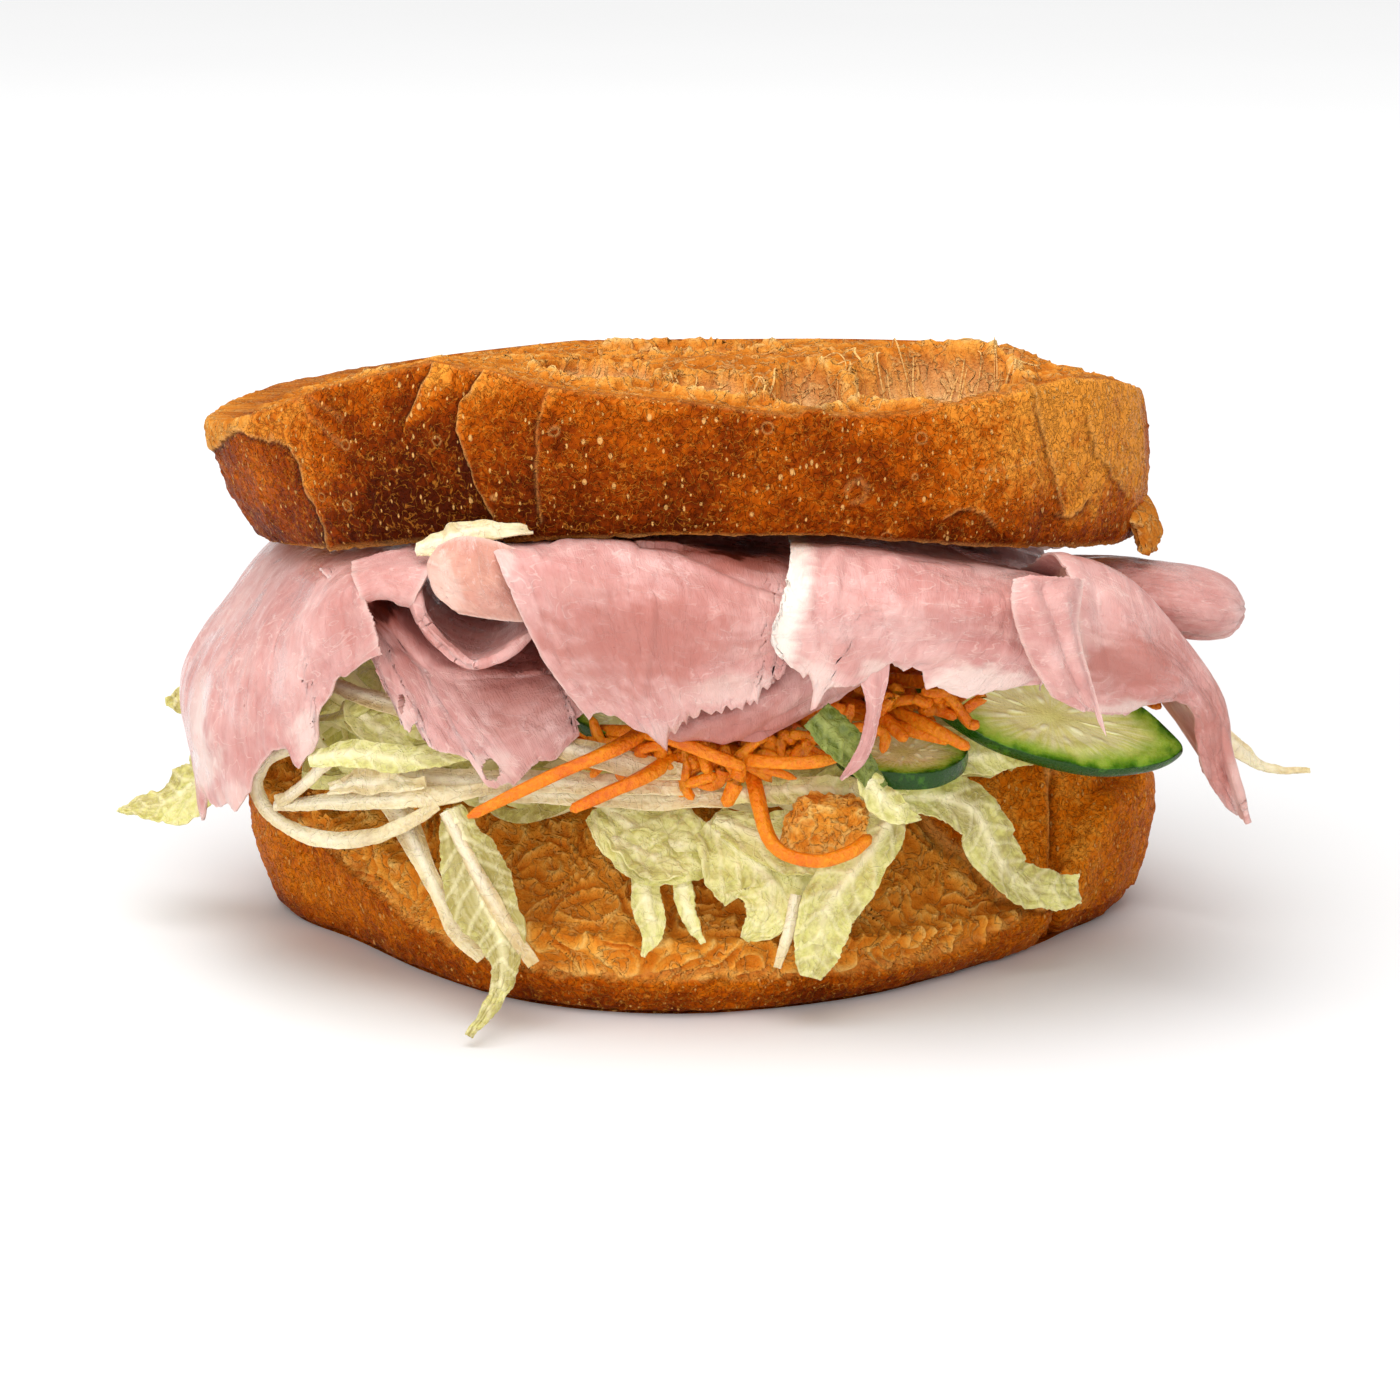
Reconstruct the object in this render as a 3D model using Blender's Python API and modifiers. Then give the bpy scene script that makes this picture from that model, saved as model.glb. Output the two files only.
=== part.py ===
"""Smoked ham sandwich: two thick slices of crusty white loaf round draped ham, grated carrot,
cucumber and shredded lettuce. Sizes below are millimetres and the scene is metres, +Z up.
The origin is on the table, in the middle of the bottom slice. The front faces -Y."""

import math

import bmesh
import bpy
import numpy as np
from mathutils import Matrix, Vector, noise

MM = 0.001

BOTTOM_SLICE = 25.5
TOP_UNDERSIDE = 68.8
END_DROOP = 8.6
BED_TOP = 32.6
BED_RISE_LEFT = 8.5
CARROT_UNDERSIDE = 33.9
CARROT_TOP = 43.0
CARROT_RISE_RIGHT = 3.6
HAM_THICKNESS = 1.3
LEAF_THICKNESS = 0.6
SHRED_WIDTH = 2.1
BED_UNDERSIDE = 26.3

BREAD_STEPS = 72
# Rings on a layer's upper face, its wall and its lower face, and how even the upper ones are.
BREAD_RINGS = (6, 4, 2, 0.8)
TOP_SLICE_RINGS = (7, 4, 2, 1.2)
HEAP_STEPS = 32
HEAP_RINGS = (3, 3, 3, 0.8)


def clear_scene():
    for obj in list(bpy.data.objects):
        bpy.data.objects.remove(obj)


def new_collection(name):
    made = bpy.data.collections.new(name)
    bpy.context.scene.collection.children.link(made)
    return made


def material(name, colour, roughness):
    made = bpy.data.materials.new(name)
    made.use_nodes = True
    shader = made.node_tree.nodes["Principled BSDF"]
    shader.inputs["Base Color"].default_value = (*colour, 1.0)
    shader.inputs["Roughness"].default_value = roughness
    shader.inputs["Metallic"].default_value = 0.0
    return made


def spline(points, t, closed=False):
    """A point at t, from 0 to 1, on the smooth curve through the points."""
    p = np.asarray(points, float)
    count = len(p)
    if count == 2:
        return p[0] * (1 - t) + p[1] * t
    spans = count if closed else count - 1
    at = min(max(t, 0.0), 1.0) * spans
    i = min(int(at), spans - 1)
    f = at - i
    if closed:
        a, b, c, d = (p[(i + k) % count] for k in (-1, 0, 1, 2))
    else:
        b, c = p[i], p[i + 1]
        a = p[i - 1] if i > 0 else 2 * b - c
        d = p[i + 2] if i + 2 < count else 2 * c - b
    cubic = 3 * b - a - 3 * c + d
    return 0.5 * (2 * b + (c - a) * f + (2 * a - 5 * b + 4 * c - d) * f**2 + cubic * f**3)


def wobble(point, scale, seed=0.0):
    """Smooth noise from -1 to 1 that repeats for the same point."""
    return noise.noise(Vector(point) * scale + Vector((seed, 2.7 * seed, -1.3 * seed)))


def ease(low, high, value):
    t = min(max((value - low) / (high - low), 0.0), 1.0)
    return t * t * (3 - 2 * t)


def finish(name, bm, made_of, where, smooth_angle=50.0):
    """Puts a shape modelled in millimetres in the scene as an object of its own."""
    bmesh.ops.recalc_face_normals(bm, faces=bm.faces)
    mesh = bpy.data.meshes.new(name)
    bm.to_mesh(mesh)
    bm.free()
    mesh.transform(Matrix.Scale(MM, 4))
    mesh.materials.append(made_of)
    mesh.shade_smooth()
    mesh.set_sharp_from_angle(angle=math.radians(smooth_angle))
    obj = bpy.data.objects.new(name, mesh)
    where.objects.link(obj)
    return obj


# Bread, and the cores of the lettuce and carrot heaps, are ringed layers.

BOTTOM_OUTLINE = (
    (66, 12), (62, -1), (56, -9), (50, -17), (38, -29), (23, -41), (4, -48), (-12, -48),
    (-27, -42), (-40, -30), (-52, -14), (-62, -2), (-66, 11), (-64, 27), (-53, 41), (-34, 49),
    (-8, 52), (20, 51), (44, 43), (59, 29),
)
TOP_OUTLINE = (
    (63, 2), (62, -14), (57, -27), (49, -38), (38, -48), (20, -53), (0, -55), (-20, -53),
    (-31, -49), (-40, -44), (-52, -35), (-61, -22), (-66, -7), (-65, 9), (-59, 24), (-46, 36),
    (-26, 42), (0, 44), (24, 43), (44, 36), (57, 21),
)
BED_OUTLINE = (
    (56, 6), (49, -6), (36, -16), (24, -25), (10, -31), (-8, -32), (-26, -31), (-42, -25),
    (-52, -9), (-57, 8), (-54, 22), (-42, 34), (-20, 43), (0, 44), (20, 43), (44, 36), (56, 22),
)
CARROT_OUTLINE = (
    (51, 4), (44, -9), (33, -18), (24, -30), (12, -37), (-2, -39), (-16, -34), (-28, -22),
    (-32.5, -4), (-31.5, 18), (-20, 36), (0, 42), (22, 40), (42, 31), (50, 18),
)


def front_of(outline, x):
    """The Y of an outline's front edge at x."""
    front = sorted(p for p in outline if p[1] < 15)
    return float(np.interp(x, [p[0] for p in front], [p[1] for p in front]))


RIM_STATIONS = (-66, -55, -44, -34, -22, 0, 22, 35, 44, 51, 57, 66)
RIM_HEIGHTS = (20, 19.5, 18, 16.5, 12.5, 11.5, 10, 8.5, 7, 9, 19, 21)
SLOPE_RUNS = (7, 10, 14, 18, 23, 25, 23, 18, 13, 8, 5, 5)


def bottom_crumb(x, y):
    """Height of the bottom slice's cut face, which slopes down to a low rim at the front."""
    rim = np.interp(x, RIM_STATIONS, RIM_HEIGHTS)
    run = np.interp(x, RIM_STATIONS, SLOPE_RUNS)
    inward = (y - front_of(BOTTOM_OUTLINE, x)) / run
    rise = 0.35 * min(max(inward, 0.0), 1.0) + 0.65 * ease(0.0, 1.0, inward)
    crumple = 0.7 * wobble((x, y, 0), 0.16, 3.0) + 0.5 * wobble((x, y, 0), 0.33, 5.0)
    return rim + (BOTTOM_SLICE - rim) * rise + crumple * (1 - 0.6 * rise)


TOP_POCKETS = (  # centre x, centre y, half width, half depth, depth of torn air pockets
    (31, -30, 13, 13, 4.6),
    (11, -22, 10, 13, 4.0),
    (-8, -26, 11, 10, 3.2),
    (-22, -8, 9, 9, 2.4),
    (36, 8, 10, 9, 2.2),
    (2, 18, 13, 9, 2.2),
)
TOP_EDGE = (
    (-66, -60, -50, -36, -28, -18, 0, 10, 24, 36, 44, 50, 58, 64),
    (77, 80, 86.8, 91, 90, 88, 86.5, 85, 84.6, 85.6, 87, 88, 86.5, 84),
)
TOP_BACK = ((-66, -45, -20, 10, 40, 64), (76, 78.5, 80.6, 80.7, 81, 78))


def top_crumb(x, y):
    """Height of the top slice's upper cut face, high at the front and torn into pockets."""
    edge = np.interp(x, *TOP_EDGE)
    height = edge + (np.interp(x, *TOP_BACK) - edge) * ease(-54, 30, y)
    for cx, cy, wide, deep, depth in TOP_POCKETS:
        reach = math.hypot((x - cx) / wide, (y - cy) / deep)
        height -= depth * ease(1.25, 0.25, reach)
    return height + 0.7 * wobble((x, y, 0), 0.06, 9.0)


def top_underside(x, y):
    """Height of the top slice's lower cut face: both ends droop over the filling."""
    droop = END_DROOP * abs(x / 62) ** 2.1
    return TOP_UNDERSIDE - droop - 1.2 * ease(20, 50, y) + 0.15 * wobble((x, y, 0), 0.12, 4.0)


def bed_top(x, y):
    """Height of the lettuce, which is heaped at the left where no carrot covers it."""
    left = ease(-40, -48, x) * ease(30, 8, y)
    return BED_TOP + BED_RISE_LEFT * left + 0.8 * wobble((x, y, 0), 0.25, 2.0)


def carrot_underside(x, y):
    """Height of the carrot heap's lower side, lifted over the front cucumber slice."""
    lift = 4.7 * ease(5, 13, x) * ease(-10, -18, y)
    return CARROT_UNDERSIDE + lift + 0.2 * wobble((x, y, 0), 0.2, 1.0)


def carrot_top(x, y):
    """Height of the carrot heap, higher at the right behind the cucumber."""
    right = CARROT_RISE_RIGHT * ease(30, 42, x) * ease(-14, -4, y)
    return CARROT_TOP + right + 1.0 * wobble((x, y, 0), 0.22, 7.0)


CRUST_PLATES = (  # x where the plate starts and ends along the front, how far it stands out
    (-64, -53, -1.0),
    (-31, 43, 1.2),
    (50, 62, 0.8),
)


def top_wall(x, y, share):
    """How far the top slice's crust stands outside its outline; share is 1 at the upper edge."""
    out = 1.3 * math.sin(math.pi * share)
    if x < -46:
        out += 7.5 * ease(-46, -64, x) * (share - 0.35)
    if y < 5:
        for start, end, proud in CRUST_PLATES:
            lean = 1.6 * math.sin(3.3 * share + start)
            out += proud * ease(start - 1, start + 1, x + lean) * ease(end + 1, end - 1, x + lean)
    return out + 0.7 * wobble((x, y, 12 * share), 0.11, 6.0)


def bottom_wall(x, y, share):
    """How far the bottom slice's crust stands outside its outline."""
    out = 2.2 * math.sin(math.pi * min(0.5 * share + 0.1, 0.6)) - 3.2 * (1 - share) ** 2
    if x > 47 and y < -2:
        out -= 2.2 * math.exp(-(((x - 52) / 2.2) ** 2))
    return out + 0.8 * wobble((x, y, 10 * share), 0.1, 8.0)


def heap_wall(x, y, share):
    return 1.2 * math.sin(math.pi * share) + 1.4 * wobble((x, y, 9 * share), 0.3, 5.0)


def layer(name, outline, upper, lower, wall, made_of, steps, rings):
    """A thick layer: rings of vertices run from the middle of the upper face over the outside
    to the middle of the lower face."""
    on_top, on_wall, beneath, evenness = rings
    total = on_top + on_wall + beneath
    bm = bmesh.new()
    bmesh.ops.create_uvsphere(bm, u_segments=steps, v_segments=total, radius=1.0)
    for vertex in bm.verts:
        ring = round(math.acos(max(-1.0, min(1.0, vertex.co.z))) / math.pi * total)
        turn = math.atan2(vertex.co.y, vertex.co.x) / math.tau % 1.0
        ex, ey = spline(outline, 1.0 - turn, closed=True)
        if ring <= on_top:
            share = 0.985 * math.sin(0.5 * math.pi * ring / on_top) ** evenness
            vertex.co = (ex * share, ey * share, upper(ex * share, ey * share))
        elif ring < on_top + on_wall:
            height = 1 - (ring - on_top) / on_wall
            out = wall(ex, ey, height)
            away = Vector((ex, ey, 0)).normalized()
            high, low = upper(ex * 0.98, ey * 0.98) - 0.9, lower(ex, ey) + 0.4
            vertex.co = (ex + out * away.x, ey + out * away.y, low + (high - low) * height)
        else:
            share = (total - ring) / beneath * 0.965
            vertex.co = (ex * share, ey * share, lower(ex * share, ey * share))
    return finish(name, bm, made_of, sandwich)


# Ham slices and leaves are sheets that lie along rails. So is the flap torn from the top slice.


def sheet(name, rails, made_of, across, along, thickness, where, wave=0.3, ragged=0.0, seed=0.0):
    """A thin sheet. Each rail is a curve across it; the rails run from its hidden edge to its
    hem, which is torn by the ragged length."""
    bm = bmesh.new()
    bmesh.ops.create_grid(bm, x_segments=across, y_segments=along, size=0.5)
    for vertex in bm.verts:
        u, v = vertex.co.x + 0.5, vertex.co.y + 0.5
        column = [spline(rail, u) for rail in rails]
        place = spline(column, v)
        if v > 0.999 and ragged:
            tear = wobble((11 * u, 0, 0), 1.0, seed) + 0.6 * wobble((27 * u, 0, 0), 1.0, seed)
            onward = place - spline(column, 1 - 1 / along)
            place = place + onward / np.linalg.norm(onward) * ragged * tear
        ripple = wave * wobble(place, 0.16, seed)
        vertex.co = (place[0], place[1] + ripple, place[2] + ripple)
    bmesh.ops.triangulate(bm, faces=bm.faces)
    obj = finish(name, bm, made_of, where)
    solid = obj.modifiers.new("Thickness", "SOLIDIFY")
    solid.thickness = thickness * MM
    solid.offset = 0.0
    return obj


FLAP_RAILS = (
    ((57, -20, 64), (58, -12, 64), (59, -4, 64)),
    ((62, -23, 62), (64, -14, 62.5), (64, -5, 63)),
    ((65, -24, 60.5), (68, -15, 61.5), (67, -6, 62)),
)
HAM_SLICES = {
    # Across and along steps, then rails from the inside or the back to the hanging hem.
    "ham_left": (12, 10, (
        ((-44, 34, 56), (-42, 18, 57), (-40, 2, 58), (-38, -12, 59), (-33, -26, 60.5)),
        ((-58, 27, 56), (-60, 8, 57), (-56, -14, 58.5), (-48, -31, 61.5), (-37, -41, 64.5)),
        ((-67, 22, 48), (-69, 0, 49), (-63, -25, 50), (-55, -41, 55), (-44, -52, 62)),
        ((-73, 18, 38), (-75.5, -6, 38), (-67, -31, 38), (-57, -44, 46), (-43, -55, 57)),
        ((-72, 14, 30), (-73, -14, 26), (-66, -34, 22), (-56, -45, 35), (-42, -55, 52)),
    )),
    "ham_inner": (7, 13, (
        ((-48, 50, 40), (-28, 53, 42), (-9, 54, 41)),
        ((-53, 37, 48), (-30, 44, 50), (-9, 46, 50)),
        ((-56, 0, 47.5), (-30, 0, 48), (-9, 0, 48)),
        ((-43, -42, 56), (-33, -44, 49.5), (-20, -43, 49)),
        ((-42, -49, 50), (-32, -51, 47), (-17, -48, 48)),
        ((-40, -52, 42), (-32, -53, 38), (-23, -53, 37), (-16, -50, 44)),
    )),
    "ham_pocket": (9, 6, (
        ((-40, -12, 54.5), (-34, -12, 52.5), (-27, -12, 52.5), (-21, -12, 54.5)),
        ((-40, -34, 61), (-36, -36, 55), (-28, -36, 53), (-21, -35, 57)),
        ((-39.5, -50, 63), (-37, -55, 57), (-32, -57, 52.5), (-27, -57, 52.5), (-22.5, -56, 56.5)),
    )),
    "ham_turned_end": (5, 5, (
        ((-35.5, -59, 66), (-36, -59.5, 63), (-33.5, -59.5, 60.2), (-30, -59, 58.8)),
        ((-31, -58.3, 67.3), (-31, -59, 64), (-29, -59, 61), (-26.5, -58.5, 58.6)),
        ((-28, -56.2, 65.6), (-27, -57.2, 62.8), (-25, -57.8, 60), (-23, -57.8, 58)),
    )),
    "ham_center": (10, 13, (
        ((-28, 51, 49), (-8, 54, 47), (13, 53, 49)),
        ((-28, 44, 58.5), (-8, 46, 60.5), (13, 45, 59)),
        ((-29, 0, 63), (-8, 0, 64), (14, 0, 63)),
        ((-30, -36, 63), (-12, -37, 64.3), (14, -37, 63.1)),
        ((-29, -49, 65.7), (-16, -52, 66.7), (-3, -53, 66.5), (13, -50.5, 64.3)),
        ((-25, -59.5, 64.5), (-14, -62, 63.5), (0, -62, 62), (14, -58.4, 60)),
        ((-20, -60.5, 54), (-11, -62.5, 54), (0, -62, 52.5), (14, -58.6, 55.5)),
        ((-15, -58.5, 45.5), (-9, -59.5, 44.5), (-3, -58.5, 41), (4, -60.5, 46.5), (13, -59, 52)),
    )),
    "ham_center_fold": (7, 16, (
        ((-6, -22, 57.5), (8, -22, 58.5), (22, -22, 58)),
        ((-6, -46, 57), (8, -49, 59), (22, -48, 58)),
        ((-6, -54, 48), (8, -56, 49), (22, -54, 54)),
        ((-5, -53, 41.5), (8, -54.5, 41.8), (24, -51, 49.5)),
        ((-6, -42, 44.5), (9, -42, 45.7), (24, -40, 48.5)),
        ((-5, 0, 46), (11, 0, 46.5), (27, 0, 47)),
        ((-4, 49, 45), (11, 49, 46), (27, 45, 46)),
    )),
    "ham_right": (11, 12, (
        ((15, 50, 48), (34, 44, 48), (50, 34, 47)),
        ((15, 42, 60.5), (34, 37, 58), (50, 26, 54)),
        ((12, 0, 65), (22, 0, 63.2), (35, 0, 61), (50, 0, 56.5)),
        ((12, -38, 65.2), (22, -37.5, 64.3), (34, -36, 62.2), (49, -30, 57.5)),
        ((11.5, -54.5, 66.4), (24, -54, 65.3), (38, -50, 62.6), (49, -43, 60)),
        ((11.5, -62.5, 62.5), (25, -63, 61.5), (38, -60, 60.5), (47, -54.5, 59)),
        ((9.5, -63.2, 56.5), (24, -63, 57), (38, -60, 55), (47, -55.5, 54)),
        ((11, -62.6, 53), (16, -62, 48.5), (25, -61, 52), (33, -59.5, 48.5), (45, -56, 48)),
    )),
    "ham_right_flap": (5, 6, (
        ((41.5, -61.8, 63.5), (46, -59.6, 62.7), (50, -56, 61.7)),
        ((43, -62.4, 60), (47, -60.2, 60), (51, -57, 59)),
        ((45, -61.8, 53), (49, -59.5, 53), (53, -57, 53)),
        ((46.5, -60.5, 49), (51, -58.5, 46), (54.5, -56, 41.5)),
    )),
    "ham_tail": (11, 8, (
        ((43, 8, 50), (49, 6, 49.5), (54, 4, 49), (58, 2, 48.5)),
        ((46, -31, 52), (52, -31, 52), (57, -31, 51), (61, -31, 48)),
        ((50, -44, 58.5), (55, -41.5, 57.6), (60, -40, 55.3), (65, -40, 50.5), (69, -39, 46.5)),
        ((51.5, -51, 56), (57, -48, 54), (63, -44.5, 51), (68, -42, 47), (72, -40, 42)),
        ((51.5, -52.5, 50), (59, -48.5, 49.5), (66, -44, 46), (71, -40, 38.5), (75.5, -36, 32)),
        ((52, -50.5, 44.6), (58, -47, 43.8), (65, -43, 43), (69, -39.5, 36), (75.5, -34.5, 23)),
    )),
    "ham_top_slice": (8, 9, (
        ((-40, -30, 63.8), (-15, -38, 66.8), (10, -39, 67.1), (35, -37, 64.8), (51, -31, 61.8)),
        ((-43, 0, 63.2), (-15, 0, 66.9), (10, 0, 67.1), (35, 0, 64.9), (56, 0, 60.4)),
        ((-42, 27, 63.2), (-15, 34, 66), (10, 35, 66.2), (35, 28, 64.3), (51, 22, 61)),
        ((-47, 44, 60), (-20, 51, 62.5), (10, 52, 62.8), (40, 45, 60), (57, 30, 57)),
        ((-49, 48, 53), (-20, 55.5, 57), (10, 57, 56), (40, 51, 53), (59, 34, 50)),
    )),
}

ROLL_SECTIONS = (  # x, y and z of the centre, then half its depth and half its height
    (52, -17, 55.0, 8.0, 2.6),
    (58, -18, 55.0, 9.0, 3.2),
    (64, -19, 54.0, 9.0, 4.2),
    (70, -19, 52.6, 8.5, 4.8),
    (74.5, -18.5, 51.4, 6.0, 3.8),
    (76.5, -18.5, 51.0, 2.2, 1.5),
)
ROLL_TURN = (0.62, 1.56)


def rolled_rails():
    """Rails of the slice rolled along X: they go once round its sections, open at the back."""
    start, end = ROLL_TURN
    rails = []
    for step in range(11):
        turn = math.tau * (start + (end - start) * step / 10)
        rail = [(x, y + deep * math.sin(turn), z + high * math.cos(turn))
                for x, y, z, deep, high in ROLL_SECTIONS]
        rails.append(rail)
    return rails


FRINGES = {
    # A narrow strip of ham torn from the right slice's hem.
    "ham_strip": ((18.8, -63.4, 47.6, 2.0), (21.5, -62.6, 44.5, 4.0), (21, -61.6, 40, 3.0),
                  (19.4, -60.8, 35.5, 0.8)),
}

LEAVES = {
    # Material, facing and a path of x, y, z, width from the filling to the leaf's free end.
    "lettuce_left_leaf": ("leaf", (0, -0.5, 0.87), (
        (-63, 3, 27.2, 7), (-69, 1, 24.5, 9), (-74.5, -1, 20.5, 11), (-80, 0, 17.2, 7),
        (-87, 1, 16, 1.6))),
    "lettuce_side_leaf": ("leaf", (0, -0.9, 0.4), (
        (-63, 24, 30, 4), (-70, 22, 29.6, 5), (-77.5, 20, 28.6, 6), (-82, 19, 28, 2))),
    "lettuce_band": ("leaf", (0, -0.9, 0.45), (
        (-53, -46.5, 36.2, 2.2), (-47, -49, 37.5, 3.6), (-39, -50.5, 37, 3.4), (-29, -50.5, 39, 1.8))),
    "lettuce_low_strip": ("rib", (0, -0.85, 0.5), (
        (-58, -37.5, 27.5, 2.4), (-48, -44.5, 29.6, 2.8), (-40, -47.6, 30.6, 2.4), (-35.5, -49, 31.2, 1.6))),
    "lettuce_loop": ("rib", (0.1, -0.9, 0.4), (
        (-54, -41, 35.5, 2.2), (-60.5, -36, 32, 2.6), (-61.5, -34.5, 27.5, 2.6), (-56.5, -39, 24.2, 2.6),
        (-50, -43.5, 24.4, 3), (-42, -46.5, 27, 1.6))),
    "lettuce_long_leaf": ("leaf", (-0.05, -0.93, 0.3), (
        (-33.5, -50.8, 30.5, 3), (-31.5, -51.5, 24.5, 7.5), (-29.5, -53, 18.5, 8),
        (-26.8, -54.8, 13, 4.5), (-29, -57.5, 7, 2), (-33, -61.5, 1.6, 1))),
    "lettuce_rib_strip": ("rib", (0, -0.85, 0.5), (
        (-41, -45.2, 29, 2.2), (-38, -46.6, 23.5, 2.8), (-35, -49, 16.5, 2.6), (-27, -53.5, 8.5, 2.4),
        (-22, -57.5, 4.2, 1.8))),
    "lettuce_frill": ("leaf", (0.05, -0.8, 0.58), (
        (-12.5, -43.4, 28.3, 5), (-6, -44.4, 25.3, 10), (1, -44.5, 25, 10), (8, -46, 23, 8),
        (13, -48.5, 22.5, 5))),
    "lettuce_mid_leaf": ("leaf", (0, -0.9, 0.4), (
        (26.8, -46.6, 28, 3), (24.4, -50, 23.4, 5), (19, -52, 17, 8), (20, -53, 11, 3.5))),
    "lettuce_tendril": ("rib", (0, -0.9, 0.4), (
        (13, -51.5, 18.5, 1.6), (12, -52.8, 13.5, 1.6), (10.5, -54.5, 9, 1.2))),
    "lettuce_right_leaf": ("leaf", (0.15, -0.85, 0.5), (
        (27, -41.5, 28.8, 3), (34, -39.5, 29.3, 4.5), (39.5, -37.5, 25.5, 7), (43.5, -34, 18.5, 6.5),
        (49.5, -32, 13.6, 4.5), (53.5, -29.5, 13.2, 2.2))),
    "lettuce_wisp": ("rib", (0, -0.6, 0.8), (
        (67, 12, 32, 2), (73, 6, 30.5, 3), (79, 0, 26.5, 3.4), (84, 0, 22.8, 2), (91, 1, 22, 0.9))),
    "lettuce_dark_leaf": ("dark_leaf", (0.2, -0.9, 0.3), (
        (16.5, -58.2, 44.6, 3.2), (20, -59, 41, 4), (23, -58.4, 37.2, 3), (26, -57.5, 33.4, 2))),
    "lettuce_top_bits": ("leaf", (0, -0.8, 0.6), (
        (-37, -53.5, 66.2, 1.6), (-34, -56, 67.4, 2.6), (-29, -56.8, 69.4, 1.8), (-25, -58, 69.6, 1))),
    "lettuce_rib_mid": ("rib", (0, -0.8, 0.6), (
        (-24, -49, 36.2, 2), (-17, -51.5, 38.2, 2.6), (-9, -52.6, 37, 3), (-2.5, -52.3, 35.8, 2))),
}

BED_STRIPS = (  # lettuce shreds fused on the bed; path of x, y, z, width
    ((-48, -8, 37, 2.4), (-49, -32, 39, 2.6), (-44, -41.5, 37.6, 2.4), (-36, -44, 38.6, 1.6)),
    ((-51, -2, 36, 2.4), (-55, -29, 37.6, 2.4), (-49, -40.5, 41, 2.2), (-44, -43, 44, 1.6)),
    ((-42, -14, 31, 2.4), (-43, -35, 34.6, 2.4), (-38, -43, 33.4, 2.2), (-30, -46, 33.2, 1.6)),
    ((-30, -24, 30, 2.4), (-28, -36, 31, 2.8), (-18, -43, 32, 2.6), (-8, -46, 31.6, 1.8)),
    ((-20, -24, 30, 2.4), (-14, -35, 30.4, 2.8), (-4, -40, 30.6, 2.6), (7, -42, 29.6, 1.8)),
    ((12, -24, 30, 2.6), (22, -31, 30.2, 2.8), (33, -30, 30.4, 2.4), (42, -26, 28.8, 1.8)),
    ((38, -10, 29.5, 2.6), (50, -15, 28.4, 2.8), (59, -15, 28.4, 2.2), (65, -9, 27.8, 1.6)),
    ((40, 24, 30, 2.6), (52, 34, 29, 2.8), (58, 38, 26, 2.4), (60, 40, 20, 1.6)),
    ((10, 34, 30, 2.6), (16, 47, 30, 3), (22, 54, 27, 2.8), (24, 57, 19, 1.8)),
    ((-14, 34, 30, 2.6), (-18, 48, 30.5, 3), (-14, 55, 26, 2.6), (-10, 57.5, 18, 1.6)),
    ((-40, 24, 30, 2.6), (-46, 38, 31, 3), (-52, 47, 28, 2.6), (-54, 50, 20, 1.6)),
)

CARROT_SHREDS = (  # carrot shreds fused on the heap; each path starts inside the heap
    ((-16, -28, 39.5), (-24, -44, 36.4), (-31.5, -56, 31.2)),
    ((-12, -30, 38), (-13, -44, 35), (-21, -54.5, 31)),
    ((-8, -32, 38), (-6, -46, 36.2), (0, -50.5, 36.4)),
    ((-2, -34, 37), (0, -47, 36.6), (6, -49.5, 37.6), (8, -49.8, 35)),
    ((3, -34, 38), (4, -47, 38.4), (5.2, -53.5, 36.4), (3.4, -54.2, 31.6)),
    ((5, -34, 36), (7, -48, 34.6), (9.6, -54, 26.6), (15, -56.2, 24.6), (20, -55.6, 25.6), (23, -54.4, 27.6)),
    ((8, -33, 39), (12, -46, 38), (17, -49.6, 36.4)),
    ((10, -32, 41), (15, -44, 40.6), (21, -48, 38.2)),
    ((16, -31, 42), (24, -42, 41.4), (28, -46.8, 39)),
    ((22, -27, 41), (28, -38, 42.6), (35, -43.6, 41.4)),
    ((23, -25, 42.4), (30, -38, 45), (37.5, -43.6, 45.6)),
    ((18, -30, 40), (26, -40.5, 39.6), (34, -45.4, 38.4)),
    ((20, -27, 40.6), (29, -42, 40.8), (36.5, -47.6, 38)),
    ((13, -32, 40), (17, -45, 43), (19, -49.6, 44)),
    ((25, -24, 42), (33, -30.4, 46.8), (40, -37.4, 48.4)),
    ((45, -3, 42), (58, -20, 42.6), (62.5, -30.6, 41)),
    ((48, 2, 40), (58, -12, 40), (65.5, -22, 37.4)),
    ((48, 12, 38), (58, 10, 37), (64, 6, 34)),
    ((-20, -26, 40), (-30, -30.5, 41), (-36, -36, 42)),
    ((-30, -4, 40), (-40, 6, 44.6), (-45, 14, 45)),
    ((-24, 28, 38), (-30, 42, 36), (-33, 50, 31)),
    ((-6, 38, 39), (-3, 50, 36.4), (-6, 57, 29)),
    ((14, 37, 38), (18, 48, 39), (26, 54.6, 38)),
    ((26, 35, 40), (33, 45, 38), (37, 51, 32)),
    ((42, 26, 40), (50, 34, 38), (54, 39, 32)),
)

CUCUMBER_SLICES = {
    # Steps round, centre, half length, half width, thickness, long axis and facing.
    "cucumber_right": (28, (50.0, -32, 36.8), 18.5, 8.4, 3.2, (0.9, 0.15, -0.41), (0.25, -0.7, 0.66)),
    "cucumber_front": (20, (28, -38, 34.2), 9.2, 7.6, 2.6, (1, 0.1, 0), (0.05, -0.2, 0.98)),
    "cucumber_left": (14, (-10.5, -44.4, 40.9), 6.5, 4.2, 1.8, (1, 0, 0), (0, -0.35, 0.94)),
}


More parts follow.
